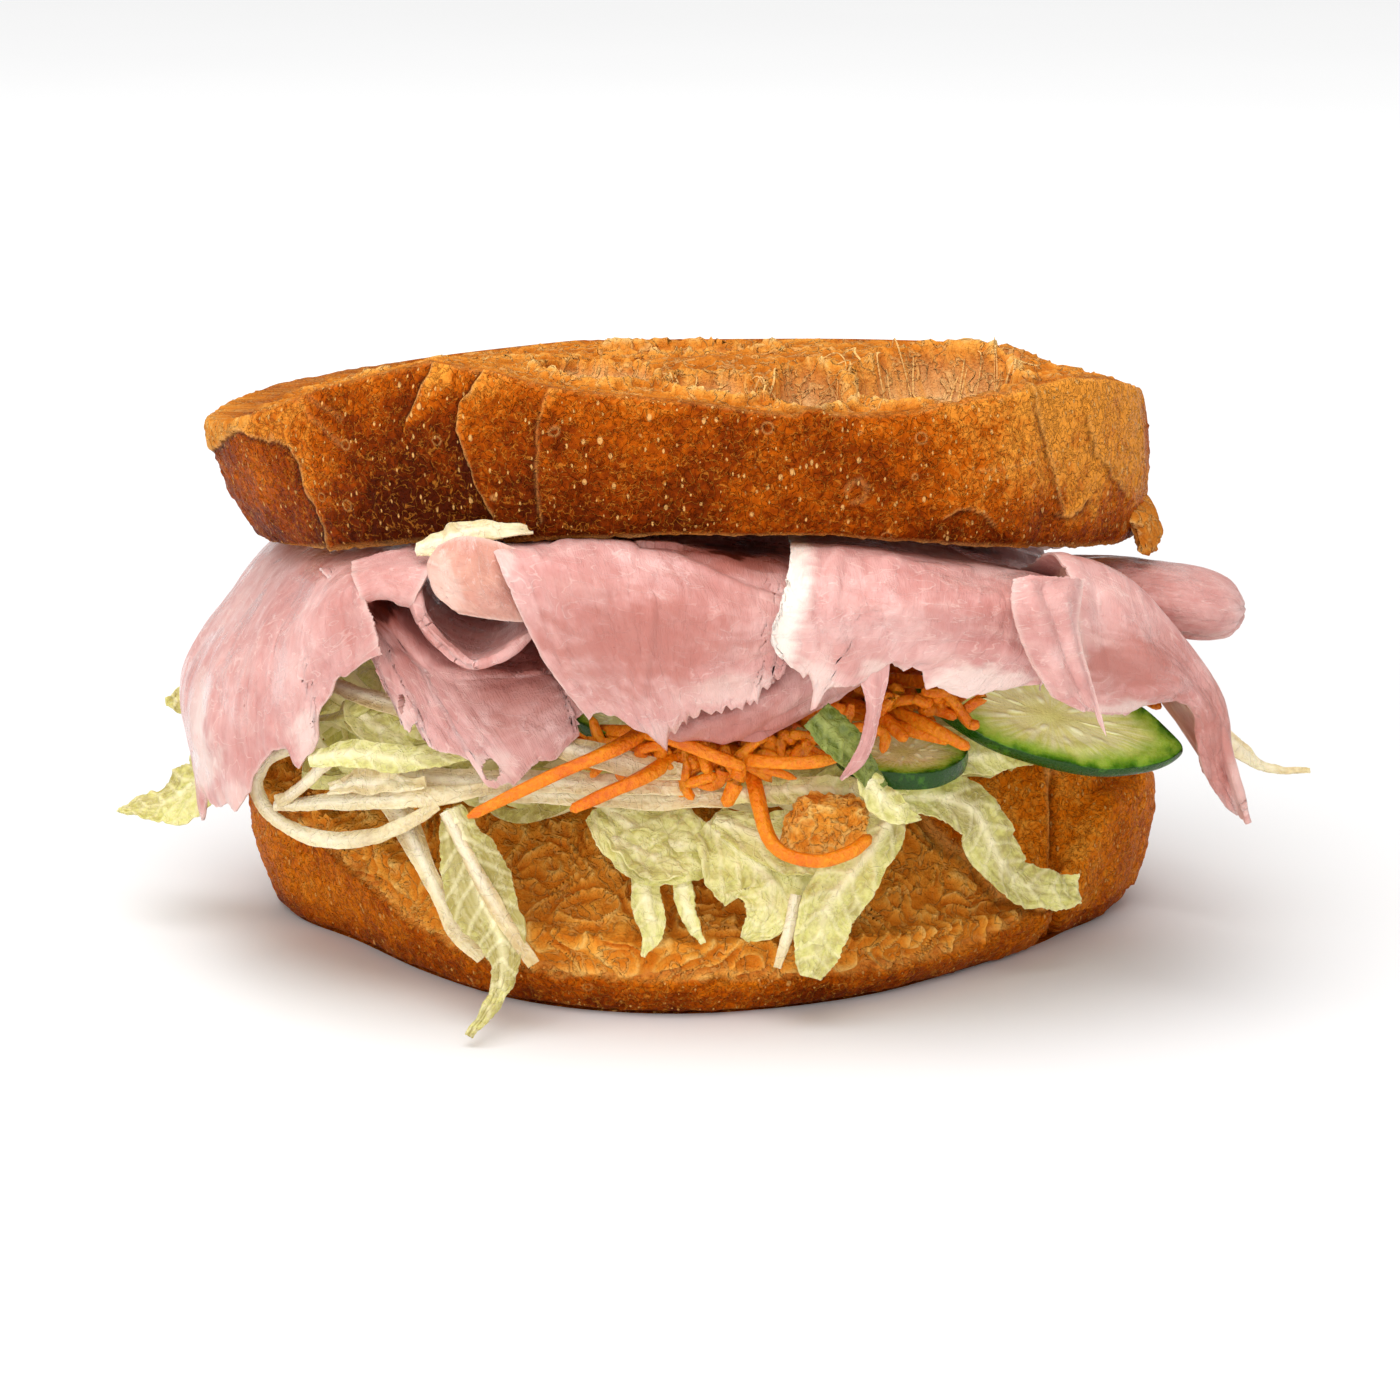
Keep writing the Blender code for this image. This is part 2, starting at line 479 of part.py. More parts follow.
def path_rails(path, facing):
    """Rails of a narrow leaf: one across the path at each of its points."""
    facing = Vector(facing).normalized()
    rails = []
    for i, (x, y, z, width) in enumerate(path):
        before, after = path[max(i - 1, 0)], path[min(i + 1, len(path) - 1)]
        onward = Vector(after[:3]) - Vector(before[:3])
        side = onward.cross(facing).normalized() * (width / 2)
        middle = Vector((x, y, z))
        rails.append([tuple(middle - side), tuple(middle + side)])
    return rails


def ribbon(name, path, facing, made_of, thickness, where, across=2, seed=0.0, wave=0.5):
    rails = path_rails(path, facing)
    return sheet(name, rails, made_of, across, 2 * len(path), thickness, where, wave, 0.0, seed)


def shred(name, path, made_of, where):
    """A grated shred of square section that tapers to a blunt end."""
    steps = 3 * len(path) - 2
    bm = bmesh.new()
    bmesh.ops.create_cone(bm, cap_ends=True, segments=4, radius1=1, radius2=1, depth=steps)
    edges = [e for e in bm.edges if abs(e.verts[0].co.z - e.verts[1].co.z) > 1]
    bmesh.ops.subdivide_edges(bm, edges=edges, cuts=steps - 1, use_grid_fill=False)
    for vertex in bm.verts:
        t = min(max(vertex.co.z / steps + 0.5, 0.0), 1.0)
        middle = Vector(spline(path, t))
        onward = Vector(spline(path, min(t + 0.04, 1.0)) - spline(path, max(t - 0.04, 0.0))).normalized()
        side = onward.cross(Vector((0.3, 0.2, 1))).normalized()
        half = 0.5 * SHRED_WIDTH * (1 - 0.35 * ease(0.7, 1.0, t))
        offset = side * (vertex.co.x * half) + side.cross(onward) * (vertex.co.y * half)
        vertex.co = middle + offset
    return finish(name, bm, made_of, where)


def cucumber(name, steps, centre, long_half, wide_half, thickness, axis, facing, made_of):
    """A slice cut at a slant: a thin oval disc."""
    bm = bmesh.new()
    bmesh.ops.create_cone(bm, cap_ends=True, segments=steps, radius1=1, radius2=1, depth=1)
    bmesh.ops.bevel(bm, geom=[e for e in bm.edges if abs(e.verts[0].co.z - e.verts[1].co.z) < 0.1],
                    offset=0.03, segments=1, affect="EDGES")
    normal = Vector(facing).normalized()
    long_axis = Vector(axis)
    long_axis = (long_axis - normal * long_axis.dot(normal)).normalized()
    wide_axis = normal.cross(long_axis)
    for vertex in bm.verts:
        x, y, z = vertex.co
        vertex.co = (Vector(centre) + long_axis * (x * long_half) + wide_axis * (y * wide_half)
                     + normal * (z * thickness))
    return finish(name, bm, made_of, sandwich, 30)


def fuse(obj, pieces):
    """Joins a collection of overlapping pieces to an object, then removes the collection."""
    union = obj.modifiers.new("Fused pieces", "BOOLEAN")
    union.operation = "UNION"
    union.operand_type = "COLLECTION"
    union.collection = pieces
    union.solver = "EXACT"
    with bpy.context.temp_override(object=obj):
        bpy.ops.object.modifier_apply(modifier=union.name)
    for piece in list(pieces.objects):
        bpy.data.objects.remove(piece)
    bpy.data.collections.remove(pieces)


def torn_scrap(name, centre, sizes, made_of):
    """A lump of torn bread."""
    bm = bmesh.new()
    bmesh.ops.create_icosphere(bm, subdivisions=2, radius=1.0)
    for vertex in bm.verts:
        lump = vertex.co * (1 + 0.25 * wobble(vertex.co, 1.5, 12.0))
        vertex.co = [middle + half * along for middle, half, along in zip(centre, sizes, lump)]
    return finish(name, bm, made_of, sandwich, 30)


clear_scene()
sandwich = new_collection("smoked_ham_sandwich")
bed_pieces = new_collection("bed_cutters")
carrot_pieces = new_collection("carrot_cutters")
bread_pieces = new_collection("bread_cutters")

crust = material("bread_crust", (0.42, 0.18, 0.05), 0.6)
crumb = material("toasted_crumb", (0.55, 0.3, 0.12), 0.8)
ham = material("smoked_ham", (0.72, 0.38, 0.36), 0.35)
greens = {
    "leaf": material("lettuce_leaf", (0.62, 0.66, 0.3), 0.45),
    "rib": material("lettuce_rib", (0.78, 0.72, 0.5), 0.45),
    "dark_leaf": material("dark_leaf", (0.12, 0.22, 0.05), 0.45),
}
carrot = material("grated_carrot", (0.85, 0.26, 0.02), 0.4)
cucumber_flesh = material("cucumber_flesh", (0.5, 0.62, 0.22), 0.3)

layer("bread_bottom", BOTTOM_OUTLINE, bottom_crumb, lambda x, y: 0.0, bottom_wall, crust,
      BREAD_STEPS, BREAD_RINGS)
top_slice = layer("bread_top", TOP_OUTLINE, top_crumb, top_underside, top_wall, crust,
                  BREAD_STEPS, TOP_SLICE_RINGS)
sheet("bread_flap", FLAP_RAILS, crumb, 5, 5, 2.0, bread_pieces, wave=1.0, ragged=1.2, seed=3.0)
fuse(top_slice, bread_pieces)

bed = layer("lettuce_bed", BED_OUTLINE, bed_top, lambda x, y: BED_UNDERSIDE, heap_wall,
            greens["leaf"], HEAP_STEPS, HEAP_RINGS)
for order, path in enumerate(BED_STRIPS):
    ribbon(f"bed_strip_{order}", path, (0.1, -0.5, 0.85), greens["leaf"], 1.0, bed_pieces, 1, order)
fuse(bed, bed_pieces)

heap = layer("carrot_heap", CARROT_OUTLINE, carrot_top, carrot_underside, heap_wall, carrot,
             HEAP_STEPS, HEAP_RINGS)
for order, path in enumerate(CARROT_SHREDS):
    shred(f"carrot_shred_{order}", path, carrot, carrot_pieces)
fuse(heap, carrot_pieces)

for name, sizes in CUCUMBER_SLICES.items():
    cucumber(name, *sizes, cucumber_flesh)

for order, (name, (across, along, rails)) in enumerate(HAM_SLICES.items()):
    sheet(name, rails, ham, across, along, HAM_THICKNESS, sandwich, ragged=1.0, seed=1.0 + order)
sheet("ham_roll", rolled_rails(), ham, 6, 12, HAM_THICKNESS, sandwich, wave=0.2, seed=20.0)
for name, path in FRINGES.items():
    ribbon(name, path, (0, -1, 0.1), ham, HAM_THICKNESS, sandwich, seed=21.0, wave=0.2)
for order, (name, (made_of, facing, path)) in enumerate(LEAVES.items()):
    ribbon(name, path, facing, greens[made_of], LEAF_THICKNESS, sandwich, 2, 30.0 + order)

torn_scrap("bread_scrap", (17, -50.2, 27.6), (6.4, 3.2, 4.4), crumb)
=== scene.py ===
import itertools
import math

import bpy
import numpy as np
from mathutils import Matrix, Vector


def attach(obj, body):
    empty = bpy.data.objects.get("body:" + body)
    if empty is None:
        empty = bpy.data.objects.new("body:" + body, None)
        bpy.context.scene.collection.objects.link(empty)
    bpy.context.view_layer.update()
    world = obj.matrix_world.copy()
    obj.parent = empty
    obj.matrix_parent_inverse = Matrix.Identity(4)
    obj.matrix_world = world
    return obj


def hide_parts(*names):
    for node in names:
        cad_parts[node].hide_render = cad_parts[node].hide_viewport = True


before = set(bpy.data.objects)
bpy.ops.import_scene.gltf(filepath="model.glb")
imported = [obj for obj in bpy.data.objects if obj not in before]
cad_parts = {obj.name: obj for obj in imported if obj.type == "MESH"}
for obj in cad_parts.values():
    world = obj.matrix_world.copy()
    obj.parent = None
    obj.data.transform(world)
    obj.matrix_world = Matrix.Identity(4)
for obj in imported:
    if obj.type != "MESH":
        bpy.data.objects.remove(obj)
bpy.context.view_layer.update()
print("frame loaded")

millimetre = 0.001
# The camera at the photograph's viewing angle, and the picture that it gives.
view = {
    "place": (0, -540, 165), "target": (0, -20, 38), "lens": 96.408, "sensor": 36,
    "level": 0.97145, "tilt": 0.23726,  # cosine and sine of how far the camera looks down
    "picture": 1400, "zoom": 3749.2,  # pixels across, and pixels for each unit of slope
    "pixel": 0.14,  # millimetres for each pixel, near the front
}
latticeSlopes = np.random.default_rng(11).normal(size=(512, 3))
latticeSlopes /= np.linalg.norm(latticeSlopes, axis=1)[:, None]


def softStep(low, high, value):
    t = np.clip((np.asarray(value, float) - low) / (high - low), 0.0, 1.0)
    return t * t * (3 - 2 * t)


def bell(value, middle, width):
    # A soft bump, 1 at the middle and next to nothing two widths away.
    return np.exp(-((value - middle) / width) ** 2)


def flatPlaces(x, y):
    return np.stack([x, y, np.zeros_like(x)], axis=1)


def noise(points, size, seed=0.0):
    # Soft lumps between about -1 and 1; size is how far apart they are, one value or three.
    place = np.asarray(points, float) / size + seed * 13.7
    cell = np.floor(place).astype(np.int64)
    part = place - cell
    fade = part ** 3 * (part * (part * 6 - 15) + 10)
    total = np.zeros(len(place))
    for corner in itertools.product((0, 1), repeat=3):
        at = cell + corner
        key = (at[:, 0] * 73856093 ^ at[:, 1] * 19349663 ^ at[:, 2] * 83492791) & 511
        slope = ((part - corner) * latticeSlopes[key]).sum(axis=1)
        total += slope * np.where(corner, fade, 1 - fade).prod(axis=1)
    return total * 1.5


def ridges(points, size, seed=0.0):
    # Thin crests between broad hollows, from 0 to 1.
    return (1 - np.clip(np.abs(noise(points, size, seed)) * 2.2, 0, 1)) ** 2


def smoothSpan(a, b, c, d, f):
    # The part f of the way from b to c, on a smooth curve through all four.
    return 0.5 * (2 * b + (c - a) * f + (2 * a - 5 * b + 4 * c - d) * f ** 2
                  + (3 * b - a - 3 * c + d) * f ** 3)


def curveThrough(points, t, closed=False):
    # Places on the smooth curve through the points, for each t from 0 to 1.
    p = np.asarray(points, float)
    t = np.clip(np.atleast_1d(t), 0.0, 1.0)
    shape = (-1,) + (1,) * (p.ndim - 1)
    count = len(p)
    spans = count if closed else count - 1
    i = np.minimum((t * spans).astype(int), spans - 1)
    f = (t * spans - i).reshape(shape)
    if closed:
        a, b, c, d = (p[(i + k) % count] for k in (-1, 0, 1, 2))
    else:
        padded = np.concatenate([[2 * p[0] - p[1]], p, [2 * p[-1] - p[-2]]])
        a, b, c, d = (padded[i + k] for k in range(4))
    return smoothSpan(a, b, c, d, f)


def besideLine(x, z, line):
    # Distance to a line of points, counted negative on its left or under side.
    nearest = np.full(np.shape(x), 1e9)
    signed = np.full(np.shape(x), 1e9)
    for (x0, z0), (x1, z1) in zip(line, line[1:]):
        dx, dz = x1 - x0, z1 - z0
        t = np.clip(((x - x0) * dx + (z - z0) * dz) / (dx * dx + dz * dz), 0, 1)
        gapX, gapZ = x - x0 - t * dx, z - z0 - t * dz
        gap = np.hypot(gapX, gapZ)
        closer = gap < nearest
        signed = np.where(closer, gap * np.where(gapZ * dx - gapX * dz >= 0, 1, -1), signed)
        nearest = np.where(closer, gap, nearest)
    return signed


def frontView(points):
    # Where points show in the front view, across and up from its lower left corner, in pixels.
    away = np.asarray(points, float) - view["place"]
    depth = away[..., 1] * view["level"] - away[..., 2] * view["tilt"]
    up = away[..., 1] * view["tilt"] + away[..., 2] * view["level"]
    middle = view["picture"] / 2
    return middle + view["zoom"] * away[..., 0] / depth, middle + view["zoom"] * up / depth


def seenBeside(points, line):
    # The distance in the front view to a line given as picture places, in millimetres: positive above
    # a line that runs to the right, and on the right of one that runs down.
    across, up = frontView(points)
    return view["pixel"] * besideLine(across, up, [(x, view["picture"] - y) for x, y in line])


def unitRows(rows):
    return rows / np.maximum(np.linalg.norm(rows, axis=-1, keepdims=True), 1e-9)


def vertexPlaces(piece):
    flat = np.empty(len(piece.data.vertices) * 3)
    piece.data.vertices.foreach_get("co", flat)
    return flat.reshape(-1, 3)


def placeVertices(piece, points):
    piece.data.vertices.foreach_set("co", (np.asarray(points) * millimetre).ravel())
    piece.data.update()


def paintMasks(piece, **masks):
    # Each mask is one value for each vertex, or one for them all.
    for name, values in masks.items():
        mask = piece.data.attributes.new(name, "FLOAT", "POINT")
        mask.data.foreach_set("value", np.full(len(piece.data.vertices), values, np.float32))


def paintMap(piece, places):
    # The UV map measures the surface in metres, so that its grain keeps one size.
    corners = np.empty(len(piece.data.loops), np.int32)
    piece.data.loops.foreach_get("vertex_index", corners)
    flat = (places * millimetre)[corners].ravel().astype(np.float32)
    piece.data.uv_layers["UVMap"].data.foreach_set("uv", flat)


def addPrimitive(add, name, **sizes):
    bpy.ops.object.select_all(action="DESELECT")
    add(**sizes)
    piece = bpy.context.object
    piece.name = piece.data.name = name
    return piece


def activate(piece):
    bpy.ops.object.select_all(action="DESELECT")
    piece.select_set(True)
    bpy.context.view_layer.objects.active = piece


def applyModifiers(piece):
    activate(piece)
    for modifier in list(piece.modifiers):
        bpy.ops.object.modifier_apply(modifier=modifier.name)


def facesOutward(piece, seam=None):
    # Turns every face to the outside, once corners that lie closer than the seam are joined.
    activate(piece)
    bpy.ops.object.mode_set(mode="EDIT")
    bpy.ops.mesh.select_all(action="SELECT")
    if seam:
        bpy.ops.mesh.remove_doubles(threshold=seam)
    bpy.ops.mesh.normals_make_consistent(inside=False)
    bpy.ops.object.mode_set(mode="OBJECT")


def dress(piece, nodes, finish, angle=60):
    # Hides the frame parts that the piece stands for, hangs it on the root, and gives it its finish.
    activate(piece)
    bpy.ops.object.shade_smooth_by_angle(angle=math.radians(angle))
    piece.data.materials.append(finish)
    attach(piece, "root")
    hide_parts(*nodes)


# Shader building blocks


def tone(red, green, blue):
    # A colour as read off a screen, 0 to 255, for a shader socket.
    linear = [((c / 255 + 0.055) / 1.055) ** 2.4 if c > 10 else c / 3295 for c in (red, green, blue)]
    return (*linear, 1.0)


def addNode(tree, kind, inputs=None, **settings):
    made = tree.nodes.new(kind)
    for name, value in settings.items():
        setattr(made, name, value)
    for name, value in (inputs or {}).items():
        if isinstance(value, bpy.types.NodeSocket):
            tree.links.new(value, made.inputs[name])
        else:
            made.inputs[name].default_value = value
    return made


def calculate(tree, operation, first, second=0.0, clamp=False):
    made = addNode(tree, "ShaderNodeMath", {0: first, 1: second}, operation=operation, use_clamp=clamp)
    return made.outputs[0]


def weigh(tree, value, weight):
    return value if weight == 1 else calculate(tree, "MULTIPLY", value, weight)


def addUp(tree, *terms, clamp=False):
    # The sum of values, each with its weight.
    total, *rest = [weigh(tree, *term) for term in terms]
    for order, value in enumerate(rest, 1):
        total = calculate(tree, "ADD", total, value, clamp and order == len(rest))
    return total


def blendColours(tree, share, first, second):
    made = addNode(tree, "ShaderNodeMix", {0: share, 6: first, 7: second}, data_type="RGBA")
    return made.outputs[2]


def layColours(tree, colour, *layers):
    # Each layer is a mask, how strongly it shows, and the colour that it lays over the others.
    for mask, strength, over in layers:
        colour = blendColours(tree, weigh(tree, mask, strength), colour, over)
    return colour


def colourRamp(tree, share, stops):
    made = addNode(tree, "ShaderNodeValToRGB", {0: share})
    points = made.color_ramp.elements
    while len(points) < len(stops):
        points.new(0.5)
    for point, (position, colour) in zip(points, stops):
        point.position = position
        point.color = colour
    return made.outputs[0]


def remap(tree, value, low, high, toLow=0.0, toHigh=1.0):
    made = addNode(tree, "ShaderNodeMapRange", {0: value, 1: low, 2: high, 3: toLow, 4: toHigh},
                   interpolation_type="SMOOTHSTEP")
    return made.outputs[0]


def readMask(tree, name):
    return addNode(tree, "ShaderNodeAttribute", attribute_name=name).outputs["Fac"]


def newGroup(name, outputs, **inputs):
    # A shader group that reads a vector and some numbers, and gives masks.
    group = bpy.data.node_groups.new(name, "ShaderNodeTree")
    group.interface.new_socket("Vector", in_out="INPUT", socket_type="NodeSocketVector")
    for label, value in inputs.items():
        socket = group.interface.new_socket(label, in_out="INPUT", socket_type="NodeSocketFloat")
        socket.default_value = value
    for label in outputs:
        group.interface.new_socket(label, in_out="OUTPUT", socket_type="NodeSocketFloat")
    return group, group.nodes.new("NodeGroupInput").outputs, group.nodes.new("NodeGroupOutput").inputs


def perMetre(tree, size):
    # How many times a size in millimetres goes into the metre that a shader measures in.
    return calculate(tree, "DIVIDE", 1000.0, size)


def stretchVector(tree, vector, x, y, z):
    factors = addNode(tree, "ShaderNodeCombineXYZ", {"X": x, "Y": y, "Z": z}).outputs[0]
    return addNode(tree, "ShaderNodeVectorMath", {0: vector, 1: factors}, operation="MULTIPLY").outputs[0]


def buildPatches():
    # Soft cloudy patches, of a size in millimetres.
    group, given, result = newGroup("Patches", ("Mask",), Size=5.0, Detail=3.0, From=0.35, To=0.65)
    clouds = addNode(group, "ShaderNodeTexNoise", {
        "Vector": given["Vector"], "Scale": perMetre(group, given["Size"]), "Detail": given["Detail"],
        "Roughness": 0.55})
    group.links.new(remap(group, clouds.outputs["Fac"], given["From"], given["To"]), result["Mask"])
    return group


def buildSpecks():
    # Specks: how far apart they may be along each direction, their radius in parts of that, and the
    # share of places that has one. The rim is the outline alone.
    group, given, result = newGroup("Specks", ("Mask", "Rim"), Spacing=1.0, Upright=1.0, Radius=0.25,
                                    Share=0.3)
    scale = perMetre(group, given["Spacing"])
    upright = calculate(group, "DIVIDE", scale, given["Upright"])
    place = stretchVector(group, given["Vector"], scale, scale, upright)
    cells = addNode(group, "ShaderNodeTexVoronoi", {"Vector": place, "Scale": 1.0})
    parts = addNode(group, "ShaderNodeSeparateColor", {"Color": cells.outputs["Color"]})
    varied = calculate(group, "ADD", parts.outputs["Green"], 0.45)
    radius = calculate(group, "MULTIPLY", given["Radius"], varied)
    disc = remap(group, cells.outputs["Distance"], radius, weigh(group, radius, 0.6))
    hollow = remap(group, cells.outputs["Distance"], weigh(group, radius, 0.75), weigh(group, radius, 0.5))
    chosen = calculate(group, "LESS_THAN", parts.outputs["Red"], given["Share"])
    rim = calculate(group, "SUBTRACT", disc, hollow)
    group.links.new(calculate(group, "MULTIPLY", disc, chosen), result["Mask"])
    group.links.new(calculate(group, "MULTIPLY", rim, chosen), result["Rim"])
    return group


def buildFibres():
    # Fine lines along the map's second direction, of a length and a width in millimetres.
    group, given, result = newGroup("Fibres", ("Mask",), Width=0.6, Length=12.0, Sway=1.0)
    across, along = perMetre(group, given["Width"]), perMetre(group, given["Length"])
    lines = addNode(group, "ShaderNodeTexNoise", {
        "Vector": stretchVector(group, given["Vector"], across, along, along), "Scale": 1.0,
        "Detail": 3.0, "Distortion": given["Sway"]})
    group.links.new(remap(group, lines.outputs["Fac"], 0.38, 0.66), result["Mask"])
    return group


def buildThreads():
    # Thin wandering lines, as of veins or strands; fineness nearer 1 makes them thinner.
    group, given, result = newGroup("Threads", ("Mask",), Size=4.0, Fineness=0.9)
    clouds = addNode(group, "ShaderNodeTexNoise", {
        "Vector": given["Vector"], "Scale": perMetre(group, given["Size"]), "Detail": 2.0, "Distortion": 0.6})
    middle = calculate(group, "ABSOLUTE", calculate(group, "SUBTRACT", clouds.outputs["Fac"], 0.5))
    crest = calculate(group, "SUBTRACT", 1.0, weigh(group, middle, 4.0))
    group.links.new(remap(group, crest, given["Fineness"], 1.0), result["Mask"])
    return group


patchesGroup, specksGroup = buildPatches(), buildSpecks()
fibresGroup, threadsGroup = buildFibres(), buildThreads()


def useGroup(tree, group, vector, output="Mask", **values):
    made = tree.nodes.new("ShaderNodeGroup")
    made.node_tree = group
    tree.links.new(vector, made.inputs["Vector"])
    for name, value in values.items():
        made.inputs[name].default_value = value
    return made.outputs[output]


def patches(tree, vector, size, detail, low=0.3, high=0.7):
    return useGroup(tree, patchesGroup, vector, Size=size, Detail=detail, From=low, To=high)


def newFinish(name, constants):
    # A material with its Principled shader's fixed values set on the shader itself.
    finish = bpy.data.materials.new(name)
    finish.use_nodes = True
    tree = finish.node_tree
    shader = tree.nodes["Principled BSDF"]
    for socket, value in constants.items():
        shader.inputs[socket].default_value = value
    return finish, tree, shader


def ownPlace(tree):
    return addNode(tree, "ShaderNodeTexCoord").outputs["Object"]


def ownGrain(tree):
    return addNode(tree, "ShaderNodeUVMap", uv_map="UVMap").outputs[0]


def setSurface(tree, shader, colour, roughness, heights):
    # Heights are pairs of a height mask and how many millimetres it stands for.
    tree.links.new(colour, shader.inputs["Base Color"])
    tree.links.new(roughness, shader.inputs["Roughness"])
    normal = None
    for height, depth in heights:
        bump = addNode(tree, "ShaderNodeBump", {
            "Height": height, "Distance": depth * millimetre, "Strength": 1.0})
        if normal:
            tree.links.new(normal, bump.inputs["Normal"])
        normal = bump.outputs[0]
    tree.links.new(normal, shader.inputs["Normal"])


# Bread finishes

# In both looks the edge colour serves the pale flecks and the painted highlights, and the shade colour paints
# shadows.
topBreadLook = {
    "crust": (tone(72, 20, 0), tone(130, 48, 0), tone(186, 86, 4), tone(236, 150, 52)),
    "crumb": (tone(158, 78, 14), tone(206, 118, 32), tone(234, 158, 66), tone(250, 212, 138)),
    "edge": tone(236, 178, 104), "shade": tone(48, 16, 2), "cave": tone(246, 208, 146),
}
bottomBreadLook = {
    "crust": (tone(108, 36, 0), tone(176, 78, 0), tone(222, 118, 10), tone(246, 166, 60)),
    "crumb": (tone(180, 92, 10), tone(226, 132, 34), tone(246, 166, 62), tone(254, 210, 122)),
    "edge": tone(240, 176, 96), "shade": tone(60, 22, 2), "cave": tone(196, 140, 76),
}


def breadFinish(name, look):
    finish, tree, shader = newFinish(name, {"Specular IOR Level": 0.03})
    place = ownPlace(tree)
    broad = patches(tree, place, 12.0, 3.0)
    mottle = patches(tree, place, 2.2, 6.0, 0.28, 0.72)
    wrinkle = patches(tree, place, 0.7, 4.0, 0.34, 0.66)
    fleck = useGroup(tree, specksGroup, place, Spacing=0.8, Upright=1.9, Radius=0.22, Share=0.5)
    seed = useGroup(tree, specksGroup, place, Spacing=1.7, Upright=1.4, Radius=0.19, Share=0.4)
    ring = useGroup(tree, specksGroup, place, "Rim", Spacing=4.0, Radius=0.2, Share=0.3)
    paleVein = useGroup(tree, threadsGroup, place, Size=1.5, Fineness=0.86)
    darkVein = useGroup(tree, threadsGroup, place, Size=1.2, Fineness=0.8)
    strand = useGroup(tree, threadsGroup, place, Size=3.4, Fineness=0.84)
    crumbShare = readMask(tree, "crumbShare")
    bake = addUp(tree, (broad, 0.26), (mottle, 0.2), (readMask(tree, "bake"), 0.55), (wrinkle, 0.16),
                 clamp=True)
    crust = colourRamp(tree, bake, list(zip((0.08, 0.38, 0.66, 0.96), look["crust"])))
    crust = layColours(tree, crust, (darkVein, 0.34, look["crust"][0]), (paleVein, 0.34, look["crust"][3]),
                       (fleck, 0.85, look["edge"]), (seed, 0.75, look["edge"]), (ring, 0.4, look["edge"]))
    height = addUp(tree, (readMask(tree, "relief"), 1), (wrinkle, 0.08), (mottle, 0.06), clamp=True)
    # The crumb is darker in its hollows and lighter on its crests: painted shade and light that follow the
    # relief.
    crumb = colourRamp(tree, height, list(zip((0.12, 0.4, 0.68, 1.0), look["crumb"])))
    crumb = layColours(tree, crumb, (broad, 0.2, look["crumb"][1]), (paleVein, 0.08, look["crumb"][3]),
                       (darkVein, 0.1, look["crumb"][0]), (readMask(tree, "cave"), 0.9, look["cave"]),
                       (strand, 0.3, look["crumb"][3]))
    # The pale marks are mostly painted highlights along ledges, ridges and lips, with a pale tint on the
    # crumb strands. The dark marks paint shadows beside ledges, in cracks and in the crease.
    colour = layColours(tree, crust, (crumbShare, 1, crumb), (readMask(tree, "paleMark"), 1, look["edge"]),
                        (readMask(tree, "darkMark"), 1, look["shade"]))
    roughness = remap(tree, addUp(tree, (crumbShare, 1), (mottle, 0.4)), 0.0, 1.2, 0.4, 0.8)
    raised = addUp(tree, (fleck, 1), (seed, 1), (ring, 1))
    strand = calculate(tree, "MULTIPLY", strand, crumbShare)
    crustShare = calculate(tree, "SUBTRACT", 1.0, weigh(tree, crumbShare, 0.7))
    lines = calculate(tree, "MULTIPLY", calculate(tree, "SUBTRACT", paleVein, darkVein), crustShare)
    setSurface(tree, shader, colour, roughness, (
        (raised, 0.14), (strand, 0.3), (lines, 0.14), (wrinkle, 0.1), (mottle, 0.14)))
    return finish


def hamFinish(name, pinks, shine):
    finish, tree, shader = newFinish(name, {
        "Subsurface Weight": 0.3, "Subsurface Radius": (1.0, 0.6, 0.5), "Subsurface Scale": 0.0005,
        "Specular IOR Level": 0.2, "Coat Roughness": 0.16})
    grain, place = ownGrain(tree), ownPlace(tree)
    broad = patches(tree, place, 14.0, 3.0)
    marbling = patches(tree, grain, 9.0, 5.0, 0.5, 0.75)
    mottle = patches(tree, place, 2.6, 3.0)
    fibre = useGroup(tree, fibresGroup, grain, Width=2.2, Length=16.0, Sway=1.2)
    hair = useGroup(tree, fibresGroup, grain, Width=0.5, Length=7.0, Sway=2.6)
    thread = useGroup(tree, threadsGroup, grain, Size=5.0, Fineness=0.93)
    speck = useGroup(tree, specksGroup, grain, Spacing=6.0, Radius=0.045, Share=0.35)
    wet = patches(tree, place, 0.6, 2.0, 0.35, 0.68)
    wetPlace = patches(tree, place, 9.0, 2.0, 0.5, 0.62)
    meat = addUp(tree, (broad, 0.5), (fibre, 0.22), (mottle, 0.25))
    # The deep mask is partly a deeper pink and mostly painted shade; above 1 it paints a dark shadow.
    deep = readMask(tree, "deep")
    colour = colourRamp(tree, meat, list(zip((0.08, 0.5, 0.92), pinks)))
    colour = layColours(
        tree, colour, (marbling, 0.3, tone(244, 208, 196)), (thread, 0.35, tone(250, 222, 212)),
        (deep, 1, tone(184, 112, 100)), (remap(tree, deep, 1.0, 1.6), 1, tone(92, 34, 22)),
        (readMask(tree, "fat"), 1, tone(246, 230, 218)), (speck, 0.5, tone(140, 70, 60)))
    roughness = remap(tree, addUp(tree, (mottle, 1), (wetPlace, 0.8)), 0.0, 1.6, shine + 0.2, shine)
    sparkle = calculate(tree, "MULTIPLY", wet, wetPlace)
    tree.links.new(remap(tree, wetPlace, 0.0, 1.0, 0.04, 0.6), shader.inputs["Coat Weight"])
    setSurface(tree, shader, colour, roughness, (
        (sparkle, 0.05), (thread, 0.03), (hair, 0.03), (fibre, 0.06), (mottle, 0.04)))
    return finish


